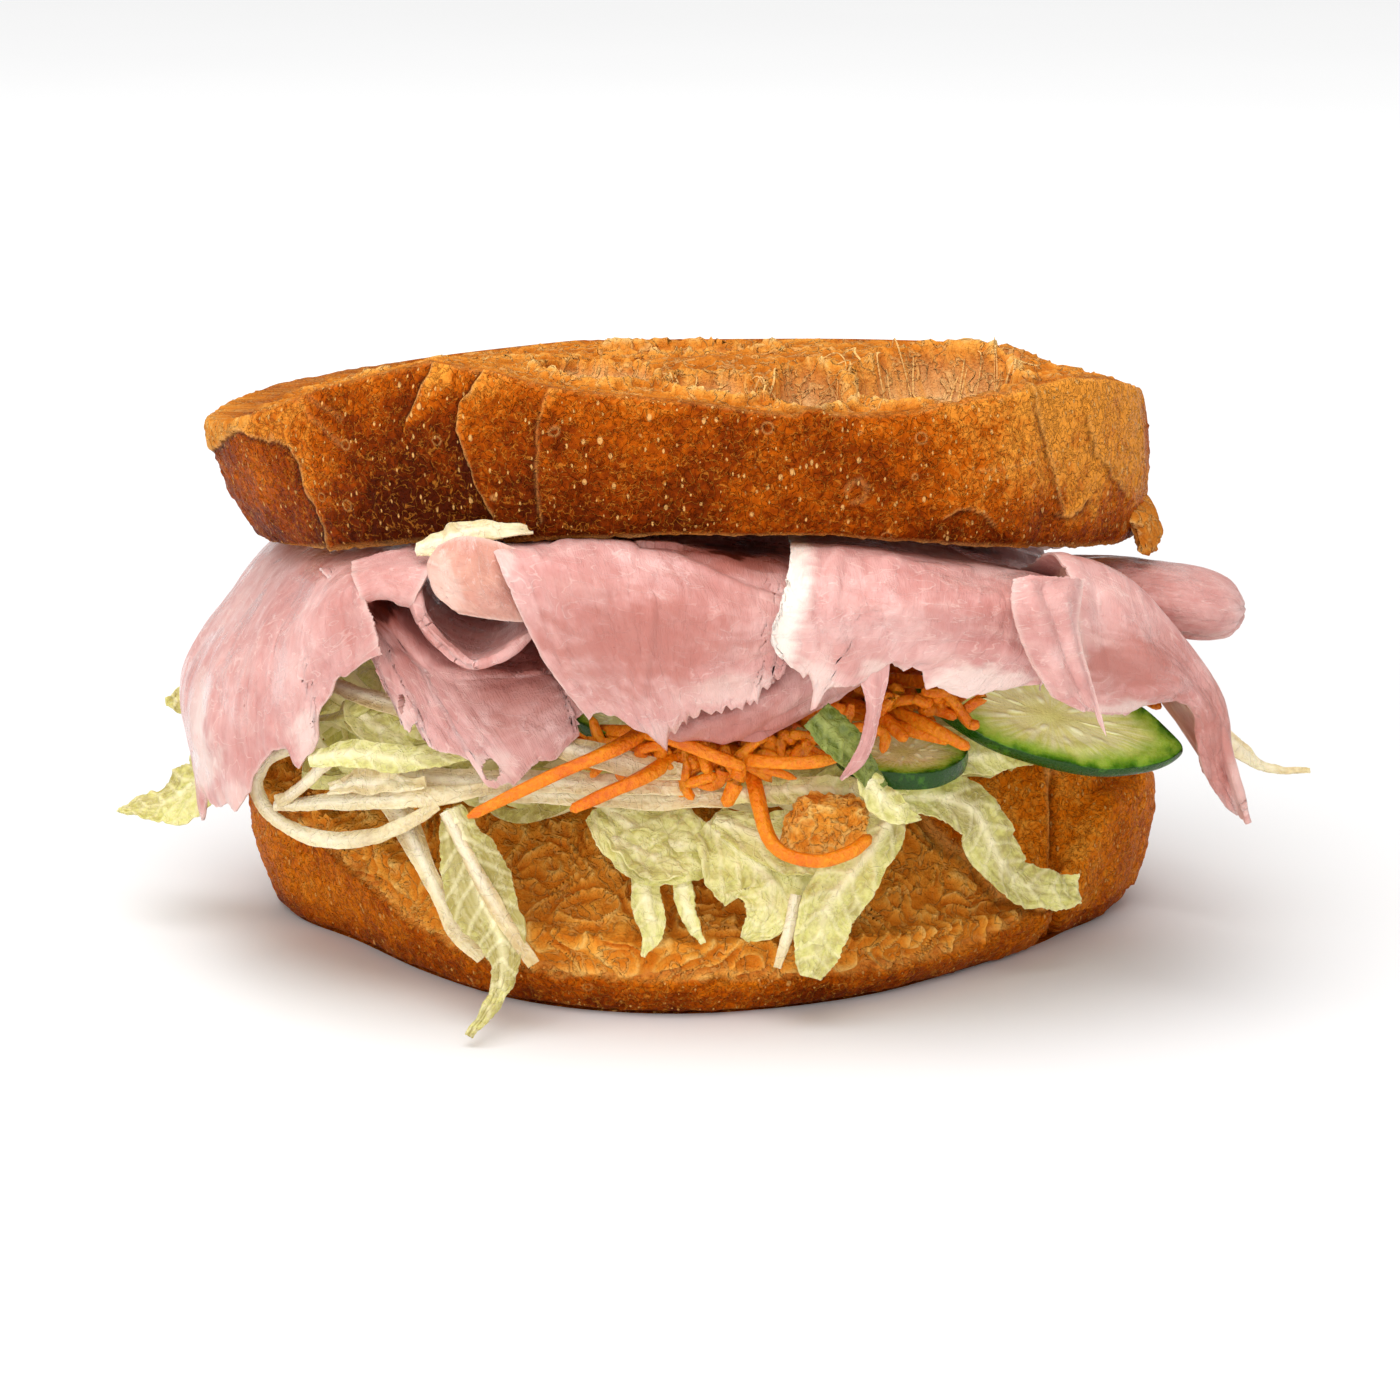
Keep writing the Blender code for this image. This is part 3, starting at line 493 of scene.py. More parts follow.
def leafFinish(name, blades, rib, tint, clarity, glow):
    finish, tree, shader = newFinish(name, {
        "Subsurface Weight": clarity, "Subsurface Radius": (0.8, 1.0, 0.5), "Subsurface Scale": 0.0008,
        "Specular IOR Level": 0.35, "Coat Weight": 0.12, "Coat Roughness": 0.2, "Emission Strength": glow})
    grain, place = ownGrain(tree), ownPlace(tree)
    broad = patches(tree, place, 7.0, 3.0)
    vein = useGroup(tree, fibresGroup, grain, Width=1.0, Length=22.0, Sway=0.8)
    cell = patches(tree, place, 0.8, 3.0)
    net = useGroup(tree, threadsGroup, place, Size=2.2, Fineness=0.82)
    rust = patches(tree, place, 5.0, 4.0, 0.56, 0.74)
    green = addUp(tree, (broad, 0.5), (cell, 0.3), (readMask(tree, "tone"), 0.3))
    colour = colourRamp(tree, green, list(zip((0.1, 0.5, 0.95), blades)))
    ribShare = readMask(tree, "ribShare")
    colour = layColours(tree, colour, (vein, 0.2, rib), (net, 0.22, rib), (ribShare, 1, rib),
                        (rust, tint, tone(178, 138, 112)))
    tree.links.new(colour, shader.inputs["Emission Color"])  # light that comes through the leaf
    roughness = remap(tree, cell, 0.0, 1.0, 0.3, 0.52)
    setSurface(tree, shader, colour, roughness, ((vein, 0.06), (net, 0.08), (cell, 0.08), (broad, 0.3)))
    return finish


def carrotFinish():
    finish, tree, shader = newFinish("gratedCarrot", {
        "Subsurface Weight": 0.3, "Subsurface Radius": (1.0, 0.35, 0.08), "Subsurface Scale": 0.002,
        "Specular IOR Level": 0.3, "Coat Weight": 0.1, "Coat Roughness": 0.2})
    place = ownPlace(tree)
    broad = patches(tree, place, 4.0, 3.0)
    rough = patches(tree, place, 0.7, 4.0, 0.32, 0.68)
    share = addUp(tree, (broad, 0.3), (rough, 0.3), (readMask(tree, "tone"), 0.4))
    colour = colourRamp(tree, share, (
        (0.1, tone(212, 84, 0)), (0.5, tone(244, 130, 4)), (0.9, tone(255, 156, 22))))
    setSurface(tree, shader, colour, remap(tree, rough, 0.0, 1.0, 0.3, 0.5), ((rough, 0.16), (broad, 0.1)))
    return finish


def cucumberFinish():
    finish, tree, shader = newFinish("cucumber", {
        "Subsurface Weight": 0.2, "Subsurface Radius": (0.7, 1.0, 0.4), "Subsurface Scale": 0.001,
        "Specular IOR Level": 0.3, "Coat Weight": 0.1, "Coat Roughness": 0.16, "Emission Strength": 0.1})
    grain, place = ownGrain(tree), ownPlace(tree)
    blotch = patches(tree, place, 2.2, 5.0)
    wet = patches(tree, place, 0.5, 3.0)
    streak = useGroup(tree, fibresGroup, grain, Width=13.0, Length=240.0, Sway=0.3)  # across the whole ring
    unevenness = calculate(tree, "SUBTRACT", blotch, 0.5)
    ringShare = addUp(tree, (readMask(tree, "radius"), 1), (unevenness, 0.12))
    flesh = colourRamp(tree, ringShare, (
        (0.0, tone(234, 232, 140)), (0.4, tone(242, 238, 156)), (0.62, tone(216, 222, 116)),
        (0.82, tone(148, 184, 56)), (0.915, tone(76, 132, 18)), (0.97, tone(28, 70, 4))))
    colour = layColours(tree, flesh, (streak, readMask(tree, "flesh"), tone(254, 252, 214)),
                        (readMask(tree, "seeds"), 1, tone(250, 248, 206)))
    # The flesh glows with its own colour: a painted glow for light that comes through it.
    tree.links.new(colour, shader.inputs["Emission Color"])
    setSurface(tree, shader, colour, remap(tree, wet, 0.0, 1.0, 0.2, 0.42), ((wet, 0.03), (blotch, 0.08)))
    return finish


finishes = {
    "topBread": breadFinish("topBread", topBreadLook),
    "bottomBread": breadFinish("bottomBread", bottomBreadLook),
    "ham": hamFinish("smokedHam", (tone(202, 138, 131), tone(217, 162, 155), tone(232, 186, 179)), 0.22),
    "hamBack": hamFinish("smokedHamBack", (tone(204, 140, 122), tone(222, 164, 144), tone(236, 190, 170)),
                         0.34),
    "leaf": leafFinish("lettuceLeaf", (tone(164, 148, 74), tone(204, 198, 112), tone(232, 224, 154)),
                       tone(240, 230, 184), 0.12, 0.25, 0.12),
    "rib": leafFinish("lettuceRib", (tone(196, 166, 110), tone(222, 200, 148), tone(238, 226, 188)),
                      tone(244, 234, 206), 0.25, 0.25, 0.07),
    "darkLeaf": leafFinish("darkLeaf", (tone(50, 66, 12), tone(88, 104, 26), tone(140, 150, 60)),
                           tone(160, 166, 84), 0.0, 0.2, 0.02),
    "carrot": carrotFinish(),
    "cucumber": cucumberFinish(),
}
print("finishes ready")


# Bread

topSlice = {
    "segments": 740, "rings": (64, 58, 10),  # round the slice, and over its top, wall and underside
    "underside": 68.8, "droop": 8.6, "droopAt": 62,  # the underside sinks this much at this x
    "outline": (
        (63, 2), (62, -14), (57, -27), (49, -38), (38, -48), (20, -53), (0, -55), (-20, -53),
        (-31, -49), (-40, -44), (-52, -35), (-61, -22), (-66, -7), (-65, 9), (-59, 24), (-46, 36),
        (-26, 42), (0, 44), (24, 43), (44, 36), (57, 21)),
    "frontEdge": ((-66, -60, -50, -36, -28, -18, 0, 10, 24, 36, 44, 50, 58, 64),
                  (77, 80, 86.8, 91, 90, 88, 86.5, 85, 84.6, 85.6, 87, 88, 86.5, 84)),
    "backEdge": ((-66, -45, -20, 10, 40, 64), (76, 78.5, 80.6, 80.7, 81, 78)),
    # Torn hollows: centre x and y, half width, half depth, how deep.
    "hollows": ((32, -35.6, 11.4, 12.4, 7.0), (15, -39.5, 6.6, 11.6, 5.6), (2, -40, 6.4, 9.6, 3.2),
                (-14, -36, 8, 9, 1.8), (-20, 4, 12, 9, 2.4), (12, 8, 9, 12, 2.6), (40, 18, 9, 9, 2.0),
                (-42, 2, 8, 10, 1.6), (-2, 30, 12, 6, 1.8)),
    # Small bubbles behind the front: how many, their half widths, and where.
    "bubbles": 130, "bubbleWide": (0.9, 3.0), "bubbleX": (-60, 60), "bubbleY": (-25, 40),
    # The torn crumb rises behind the hollows: across, and by how much.
    "crest": ((-66, -34, -12, 2, 14, 30, 43, 50, 64), (0, 0.4, 1.6, 3.6, 4.6, 5.0, 4.4, 1.2, 0)),
    # Marks on the front crust, as they show in the front view: kind, how far out, how wide, how soon
    # it fades, and the line. A step is raised above or to the right of its line. It paints a highlight on its
    # edge, a shadow just below it, and light and shade on the crust to either side. A ridge paints a
    # highlight along itself.
    "marks": (
        ("step", 1.5, 0.3, 16, ((484, 366), (482, 376), (473, 392), (465, 402), (463, 413), (463, 432),
            (467, 451), (473, 470), (479, 489), (486, 502), (494, 516))),
        ("step", 1.0, 0.35, 7, ((441, 346), (431, 370), (421, 390), (416, 404), (410, 418))),
        ("step", 1.0, 0.3, 12, ((208, 456), (224, 441), (240, 429), (256, 438), (275, 441), (292, 446),
            (300, 466), (307, 490), (316, 508), (326, 527), (329, 548))),
        ("step", 0.12, 0.25, 5, ((551, 386), (542, 405), (537, 425), (538, 450), (536, 475), (538, 495),
            (541, 518))),
        ("step", 0.3, 0.3, 10, ((1012, 345), (1025, 370), (1033, 398), (1040, 425), (1047, 452),
            (1052, 475), (1058, 500), (1061, 513))),
        ("step", 0.5, 0.3, 4, ((1056, 514), (1062, 517), (1068, 517), (1076, 511), (1086, 500))),
        ("step", 0.35, 0.3, 7, ((1087, 418), (1089, 436), (1095, 452), (1103, 463), (1108, 472),
            (1118, 484), (1124, 494))),
        ("step", 0.6, 0.25, 4, ((944, 518), (955, 511), (970, 509), (983, 515), (993, 525))),
        ("ridge", 0.2, 0.25, 0, ((297, 398), (312, 415), (328, 430), (342, 444))),
        ("ridge", 0.2, 0.25, 0, ((304, 390), (322, 406), (345, 420))),
        ("ridge", 0.15, 0.25, 0, ((979, 470), (1005, 468), (1038, 460))),
        ("ridge", 0.15, 0.3, 0, ((846, 492), (850, 481), (860, 480), (867, 489), (862, 500), (852, 503))),
    ),
    # The torn patch at the far left, in the front view.
    "patch": ((196, 470), (209, 455), (224, 441), (240, 431), (250, 424), (256, 398), (262, 380)),
    # Darker and lighter spots on the front crust. They are partly baking colour and partly painted light and
    # shade: x, z, radius, amount.
    "bakes": (
        (-38, 71, 7, -0.6), (12, 74, 26, -0.14), (-52, 79, 9, 0.2), (-44, 74, 11, -0.4),
        (-10, 70, 14, -0.2), (-25, 72, 10, -0.2), (54, 82, 15, 1.0), (40, 82, 9, 0.4), (0, 84, 22, 0.2),
        (-61, 70, 7, 0.35), (-34, 88, 3.5, 0.3), (58, 70, 7, 0.35), (-57, 80, 5, 0.3), (25, 83, 8, 0.15)),
    # Fine strands across the three front hollows, and each hollow's share of them.
    "strands": 70, "strandShares": (0.55, 0.27, 0.18), "strandWide": (0.12, 0.34),
    "strandShape": {"thickness": 0.16, "facing": (0, -0.7, 0.7), "rings": 12, "sides": 6,
                    "squareness": 1.0, "seed": 1.0, "taper": 0.1},
}
bottomSlice = {
    "segments": 740, "rings": (70, 52, 8),
    "height": 25.5,
    "outline": (
        (66, 12), (62, -1), (56, -9), (50, -17), (38, -29), (23, -41), (4, -48), (-12, -48),
        (-27, -42), (-40, -30), (-52, -14), (-62, -2), (-66, 11), (-64, 27), (-53, 41), (-34, 49),
        (-8, 52), (20, 51), (44, 43), (59, 29)),
    "rim": ((-66, -55, -44, -34, -22, 0, 22, 35, 44, 51, 57, 66),
            (20, 19.5, 18, 16.5, 12.5, 11.5, 10, 8.5, 7, 9, 19, 21),
            (7, 10, 14, 18, 23, 25, 23, 18, 13, 8, 5, 5)),
    # Where the brown crust ends and the torn crumb begins, along the front.
    "crustTop": ((-66, -59, -49, -40, -32, -22, 0, 18, 28, 40, 48.5, 50, 66),
                 (18.5, 16.8, 12.5, 8.2, 6.2, 6.0, 6.4, 5.2, 4.8, 5, 7.4, 24, 24)),
    # The flap of crust that lies over the crumb at the right: x and z along its edge.
    "crustFlap": ((27, 26), (29.1, 22.8), (34.3, 17.1), (39, 13.7), (42.6, 8.6), (48.6, 7.4), (52, 6)),
    "flapFrom": 24,
    # The upright crease at the right of the front, and the lip beside it.
    "crease": 51.3, "creaseLip": 50.5,
}
sliceEdges = {
    "top": 0.985, "underside": 0.965,  # how far the faces reach towards the outline
    "topRound": 1.1, "topRoundHigh": 0.07,  # how far the rim turns in, and over what share of the wall
    "lowRound": 2.0, "lowRoundHigh": 0.1,
    "crowding": 0.42, "crowdTurn": 0.3,  # how much closer the columns stand, and where
    "frontEnds": 15,  # the outline's front part lies before this Y
}


def makeBall(name, segments, rings):
    # A grid wrapped round a unit ball, with its seam and its two poles closed.
    piece = addPrimitive(bpy.ops.mesh.primitive_grid_add, name, x_subdivisions=segments,
                         y_subdivisions=rings, size=1)
    flat = vertexPlaces(piece)
    around, down = (flat[:, 0] + 0.5) * math.tau, (0.5 - flat[:, 1]) * math.pi
    ball = np.stack([np.cos(around) * np.sin(down), np.sin(around) * np.sin(down), np.cos(down)], axis=1)
    piece.data.vertices.foreach_set("co", ball.ravel())
    piece.data.update()
    facesOutward(piece, 0.00001)
    return piece


def frontOf(outline, x):
    front = sorted(p for p in outline if p[1] < sliceEdges["frontEnds"])
    return np.interp(x, [p[0] for p in front], [p[1] for p in front])


def roundIn(depth, share, high):
    return depth * (1 - np.sqrt(1 - np.clip(1 - share / high, 0, 1) ** 2 * 0.999))


def ringedSlice(name, sizes, upper, lower, wall, evenness):
    # A ball whose rings become the upper face, the crust and the lower face, in that order.
    onTop, onWall, beneath = sizes["rings"]
    total = onTop + onWall + beneath
    piece = makeBall(name, sizes["segments"], total)
    unit = vertexPlaces(piece)
    ring = np.rint(np.arccos(np.clip(unit[:, 2], -1, 1)) / np.pi * total)
    turn = 1 - np.arctan2(unit[:, 1], unit[:, 0]) / math.tau % 1.0
    sway = np.sin(math.tau * (turn - sliceEdges["crowdTurn"]))
    turn = turn - sliceEdges["crowding"] * sway / math.tau  # more columns along the front
    edge = curveThrough(sizes["outline"], turn % 1.0, closed=True)
    away = unitRows(edge)
    top = sliceEdges["top"]
    share = np.where(ring <= onTop, top * np.sin(0.5 * np.pi * np.clip(ring / onTop, 0, 1)) ** evenness,
                     np.clip((total - ring) / beneath, 0, 1) * sliceEdges["underside"])
    height = np.clip(1 - (ring - onTop) / onWall, 0, 1)
    onFace = edge * share[:, None]
    high, low = upper(edge[:, 0] * top, edge[:, 1] * top), lower(edge[:, 0], edge[:, 1])
    rounding = roundIn(sliceEdges["topRound"], 1 - height, sliceEdges["topRoundHigh"])
    rounding += roundIn(sliceEdges["lowRound"], height, sliceEdges["lowRoundHigh"])
    out = wall(edge[:, 0], edge[:, 1], height) - rounding
    zone = np.where(ring <= onTop, 0, np.where(ring < onTop + onWall, 1, 2))
    points = np.zeros_like(unit)
    points[:, :2] = np.where((zone == 1)[:, None], edge + away * out[:, None], onFace)
    points[:, 2] = np.where(zone == 1, low + (high - low) * height, np.where(
        zone == 0, upper(onFace[:, 0], onFace[:, 1]), lower(onFace[:, 0], onFace[:, 1])))
    return piece, points, zone, share, height


def gridNormals(piece, points):
    # Which way the shaped surface faces at each vertex.
    placeVertices(piece, points)
    flat = np.empty(len(points) * 3)
    piece.data.vertex_normals.foreach_get("vector", flat)
    return flat.reshape(-1, 3)


def crustRelief(points, seed):
    lumps = 0.34 * noise(points, 8.0, seed) + 0.16 * noise(points, 3.0, seed + 1)
    wrinkles = 0.16 * ridges(points, (2.6, 2.6, 1.7), seed + 2)
    wrinkles += 0.1 * ridges(points, (3.0, 3.0, 1.1), seed + 5)
    blisters = 0.2 * softStep(0.3, 0.5, noise(points, 1.6, seed + 3))
    pits = 0.22 * softStep(0.38, 0.6, noise(points, 2.4, seed + 4))
    return lumps + wrinkles + blisters - pits


def scatterBubbles():
    chance = np.random.default_rng(12)
    small, large = topSlice["bubbleWide"]
    spots = []
    for _ in range(topSlice["bubbles"]):
        wide = small + (large - small) * chance.random() ** 3
        spots.append((chance.uniform(*topSlice["bubbleX"]), chance.uniform(*topSlice["bubbleY"]),
                      wide, wide * chance.uniform(0.6, 1.3), 0.35 + 0.4 * wide))
    return spots


bubbles = scatterBubbles()


def topCrumb(x, y):
    # The torn upper face: its height, and how far each place lies inside a hollow or on its crest.
    flat = flatPlaces(x, y)
    edge = np.interp(x, *topSlice["frontEdge"])
    height = edge + (np.interp(x, *topSlice["backEdge"]) - edge) * softStep(-54, 30, y)
    behind = y + 22 + 2.0 * noise(flat, 9.0, 2)
    height = height + np.interp(x, *topSlice["crest"]) * bell(behind, 0, np.where(behind < 0, 8, 27))
    jag = 0.16 * noise(flat, 5.0, 3) + 0.09 * noise(flat, 2.2, 4)
    inside = np.zeros_like(x)
    crest = np.zeros_like(x)
    for centreX, centreY, wide, deep, depth in topSlice["hollows"]:
        isFront = centreY < -20  # those behind have softer and more ragged rims
        reach = np.hypot((x - centreX) / wide, (y - centreY) / deep) + jag * (1 if isFront else 2.4)
        sink = softStep(1.04, 0.78 if isFront else 0.5, reach)
        height = height - depth * sink * (1 - 0.2 * softStep(0.6, 0.0, reach))
        inside = np.maximum(inside, sink)
        crest = np.maximum(crest, bell(reach, 1.1, 0.07))
    for centreX, centreY, wide, deep, depth in bubbles:
        sink = softStep(1.1, 0.5, np.hypot((x - centreX) / wide, (y - centreY) / deep) + 1.6 * jag)
        height = height - depth * sink
        inside = np.maximum(inside, 0.45 * sink)
    return height + 0.9 * crest, inside, crest


def topUnderside(x, y):
    droop = topSlice["droop"] * np.abs(x / topSlice["droopAt"]) ** 2.1
    return topSlice["underside"] - droop - 1.2 * softStep(20, 50, y)


def topWall(x, y, share):
    out = 1.3 * np.sin(np.pi * share)
    out = out + np.where(x < -46, 7.5 * softStep(-46, -64, x) * (share - 0.35), 0)
    front = softStep(8, 0, y)
    return out + front * 0.8 * softStep(-32, -29, x) * softStep(46, 43, x)


def makeTopSlice():
    piece, points, zone, share, height = ringedSlice(
        "top_slice", topSlice, lambda x, y: topCrumb(x, y)[0], topUnderside, topWall, 0.8)
    wallPart = (zone == 1).astype(float)
    crumbPart = (zone == 0).astype(float)
    x, y, z = points.T
    front = softStep(6, -6, y) * wallPart
    step, slabLightAndShade, pale, dark = np.zeros((4, len(points)))
    sway = [noise(points, 1.8, 5), np.zeros_like(x), noise(points, 1.6, 6)]
    wobble = points + 0.3 * np.stack(sway, axis=1)
    # Each step paints a highlight on its raised edge, a shadow just below it, and lighter and darker crust on
    # either side of it. Each ridge paints a highlight along its line.
    for kind, depth, wide, fade, line in topSlice["marks"]:
        gap = seenBeside(wobble, line)
        if kind == "step":
            step += (0.55 * depth * softStep(-wide, wide, gap) * np.exp(-np.maximum(gap, 0) / fade)
                     * (np.abs(gap) < 40))
            slabLightAndShade += max(0.45, min(depth, 1.2)) * np.where(
                gap > 0, 0.4 * np.exp(-gap / 2.5), -0.4 * np.exp(gap / 2.2))
            pale += min(0.75, 0.2 + 0.5 * depth) * bell(gap, 0.14, 0.2)
            dark += min(0.8, 0.4 + 0.5 * depth) * bell(gap, -0.24, 0.22)
        else:
            near = bell(gap, 0, wide)
            step += 0.7 * depth * near
            pale += 0.25 * near
    normals = gridNormals(piece, points)
    relief = crustRelief(points, 20)
    _, inside, crest = topCrumb(x, y)
    fibre = ridges(points, (2.2, 4.5, 2.2), 31) * 0.75 + ridges(points, (1.2, 2.0, 1.4), 32) * 0.45
    # The rings lie too close near the middle for fine fibres.
    fibre = fibre * (0.2 + 0.8 * softStep(4, 30, np.hypot(x + 2, y + 5)))
    veils = ridges(points, (1.5, 10, 10), 36)
    crumb = (fibre * (0.6 - 0.35 * inside) + 0.55 * veils * inside + 0.35 * noise(points, 4.0, 33)
             + 0.5 * crest)
    onEdge = softStep(0.95, sliceEdges["top"], share) * crumbPart
    outward = np.where(zone == 1, relief * 0.8 + front * step, 0)
    outward = np.where(zone == 0, (crumb - 0.4) * (1 - onEdge) * 0.9, outward)
    outward = np.where(zone == 2, 0.3 * noise(points, 3.0, 34), outward)
    placeVertices(piece, points + normals * outward[:, None])
    patch = seenBeside(points + 0.5 * noise(points, 2.5, 7)[:, None], topSlice["patch"])
    torn = softStep(-0.3, 0.3, patch) * wallPart * softStep(-57, -60, x) * softStep(22, 14, y)
    rimShare = wallPart * softStep(0.965, 0.995, height) * (0.5 + 0.5 * noise(points, 1.5, 35))
    hem = wallPart * softStep(0.05, 0.0, height)
    mask = np.clip(crumbPart * (1 - 0.5 * onEdge) + torn + rimShare * 0.5 + (zone == 2) + hem, 0, 1)
    bake = sum(amount * np.exp(-((x - atX) ** 2 + (z - atZ) ** 2) / radius ** 2)
               for atX, atZ, radius, amount in topSlice["bakes"]) * front
    # The wall is lighter near its top and darker near its foot, and the slabs beside the steps add their
    # painted light and shade.
    bake = bake + 0.3 * softStep(0.72, 1.0, height) * wallPart - 0.25 * softStep(0.35, 0.0, height) * wallPart
    bake = bake + slabLightAndShade * front
    # The crumb's colour level follows its relief, which paints shade in its hollows and light on its crests.
    level = np.where(zone == 0, 0.15 + 0.62 * crumb, 0.62 + 0.5 * relief)
    level = np.where(torn > 0.5, 0.3 + 0.45 * fibre, level)
    cave = inside * crumbPart * softStep(1.0, 0.3, crumb) * (0.3 + 0.7 * softStep(-8, -24, y))
    cave = cave * np.clip(0.7 + 0.5 * noise(points, (2.6, 4.0, 2.6), 37), 0.25, 1.0)
    paintMasks(piece, crumbShare=mask, relief=np.clip(level, 0, 1), bake=bake + 0.25, cave=cave,
               paleMark=np.clip(pale * front, 0, 1) * 0.8, darkMark=np.clip(dark * front, 0, 1) * 0.9)
    dress(piece, ["bread_top"], finishes["topBread"])


def makeCrumbStrands():
    # Fine strands that still span the torn hollows of the top slice.
    chance = np.random.default_rng(17)
    strands = []
    for _ in range(topSlice["strands"]):
        centreX, centreY, wide, deep, _ = topSlice["hollows"][chance.choice(3, p=topSlice["strandShares"])]
        x = centreX + wide * chance.uniform(-0.95, 0.95)
        y = centreY + deep * chance.uniform(-0.8, 0.7)
        lean, run = chance.uniform(-4, 4), chance.uniform(2, 7)
        stops = np.array([(x + lean * k + 0.7 * chance.normal(), y + run * k, 0)
                          for k in (0, 0.33, 0.66, 1)])
        stops[:, 2] = topCrumb(stops[:, 0], stops[:, 1])[0] + (0.1, *chance.uniform(0.3, 1.5, 2), 0.1)
        strands.append(sweep(stops, chance.uniform(*topSlice["strandWide"]), **topSlice["strandShape"]))
    piece = joinSweeps("crumb_strands", strands, np.full(len(strands), 0.8))
    paintMasks(piece, crumbShare=1.0, relief=0.86, paleMark=0.3, darkMark=0, bake=0.5, cave=0)
    dress(piece, ["bread_top"], finishes["topBread"])


def bottomCrumb(x, y):
    rim = np.interp(x, bottomSlice["rim"][0], bottomSlice["rim"][1])
    run = np.interp(x, bottomSlice["rim"][0], bottomSlice["rim"][2])
    inward = (y - frontOf(bottomSlice["outline"], x)) / run
    rise = 0.35 * np.clip(inward, 0, 1) + 0.65 * softStep(0, 1, inward)
    return rim + (bottomSlice["height"] - rim) * rise


def bottomWall(x, y, share):
    out = 2.2 * np.sin(np.pi * np.minimum(0.5 * share + 0.1, 0.6)) - 3.2 * (1 - share) ** 2
    crease = bell(x, bottomSlice["crease"], 1.6) * softStep(0, -6, y)
    return out - 1.6 * crease * (x > 40)


def makeBottomSlice():
    piece, points, zone, *_ = ringedSlice(
        "bottom_slice", bottomSlice, bottomCrumb, lambda x, y: np.zeros_like(x), bottomWall, 0.7)
    x, y, z = points.T
    normals = gridNormals(piece, points)
    warp = points + 1.5 * np.stack([noise(points, 5, s) for s in (41, 42, 43)], axis=1)
    swirl = noise(warp, (11, 11, 7), 44) * 4.2 + noise(warp, 3.4, 45) * 0.5
    curls = (1 - np.abs(np.sin(np.pi * swirl))) ** 1.4
    folds = ridges(warp, 6.5, 46)
    strand = ridges(warp, 2.3, 47)
    crumb = 0.9 * curls + 0.2 * folds + 0.25 * strand + 0.2 * noise(points, 6.0, 48)
    crustLine = np.interp(x + 0.8 * noise(points, 3.0, 49), *bottomSlice["crustTop"])
    aboveCrust = z - crustLine + 0.7 * noise(points, 2.4, 50)
    flap = besideLine(x, z, bottomSlice["crustFlap"]) + 0.6 * noise(points, 2.5, 51)
    isFront = softStep(10, 4, y)
    torn = softStep(-0.2, 0.3, aboveCrust)
    torn = torn * np.where(x > bottomSlice["flapFrom"], softStep(0.3, -0.2, flap), 1.0)
    torn = np.where(y < 6, torn, 0) * isFront
    torn = np.where(zone == 0, np.maximum(torn, softStep(4, 8, y)), torn)
    torn = np.where((zone == 0) & (x > 26) & (y < 0), np.minimum(torn, softStep(0.3, -0.2, flap)), torn)
    torn = np.where(zone == 2, 0.0, torn)
    relief = crustRelief(points, 52)
    ledge = 0.9 * softStep(0.3, -0.4, aboveCrust) * isFront * (zone == 1)
    flapProud = 0.9 * softStep(-0.3, 0.4, flap) * isFront * (x > bottomSlice["flapFrom"]) * (z > 4)
    slit = 1.3 * bell(x, bottomSlice["crease"], 0.7) * isFront * softStep(25, 22, z)
    outward = torn * (crumb - 0.5) * 1.2 + (1 - torn) * relief * 0.8 + ledge + flapProud - slit
    outward = np.where(zone == 2, 0, outward) * softStep(0.0, 1.5, z)
    placed = points + normals * outward[:, None]
    placed[:, 2] = np.maximum(placed[:, 2], 0.0)
    placeVertices(piece, placed)
    # Painted shade along the crust's ledge, under the flap's edge and in the crease (the seam), and painted
    # highlights on the lips beside them.
    crackShade = (0.5 * bell(aboveCrust, -0.1, 0.25) * isFront * (x < 30)
             * softStep(0, 0.3, noise(points, 7.0, 53)))
    crackShade = crackShade + bell(flap, -0.3, 0.35) * isFront * (x > 26) * (z > 5) * 0.7
    lip = bell(flap, 0.5, 0.4) * isFront * (x > 26) * (z > 5)
    lip = lip + 0.6 * bell(aboveCrust, 0.5, 0.4) * isFront
    lip = lip + 0.9 * bell(x, bottomSlice["creaseLip"], 0.35) * isFront * (z > 5)
    seam = bell(x, bottomSlice["crease"], 0.4) * isFront * (noise(points, 4, 54) > -0.2)
    # The crumb's colour level follows its relief, which paints shade in its hollows and light on its crests.
    level = np.where(torn > 0.5, 0.26 + 0.5 * crumb, 0.6 + 0.5 * relief)
    # Lighter towards the right end and a little towards the left, and darker towards the floor.
    bake = 0.3 + 0.3 * softStep(20, 50, x) + 0.1 * softStep(-30, -50, x) - 0.5 * softStep(7, 1, z)
    paintMasks(piece, crumbShare=torn, relief=np.clip(level, 0, 1), bake=bake, cave=0,
               paleMark=np.clip(lip, 0, 1) * 0.6, darkMark=np.clip(crackShade + seam * 0.7, 0, 1) * 0.8)
    dress(piece, ["bread_bottom"], finishes["bottomBread"])


# Ham

hamSheet = {
    "thickness": 1.2,
    "tear": 0.8, "hemTear": 0.45,  # how far a torn edge is bitten away, and a traced hem
    # Waves over the sheet: height, and how far apart they are across and along it.
    "waves": ((0.55, (11, 30, 11)), (0.28, (5, 14, 5)), (0.12, (2.2, 5, 2.2))),
    "ridges": (0.1, (4, 15, 4)), "curl": (0.7, (3.2, 60, 3.2)),
    "edgeFat": 0.3,
}
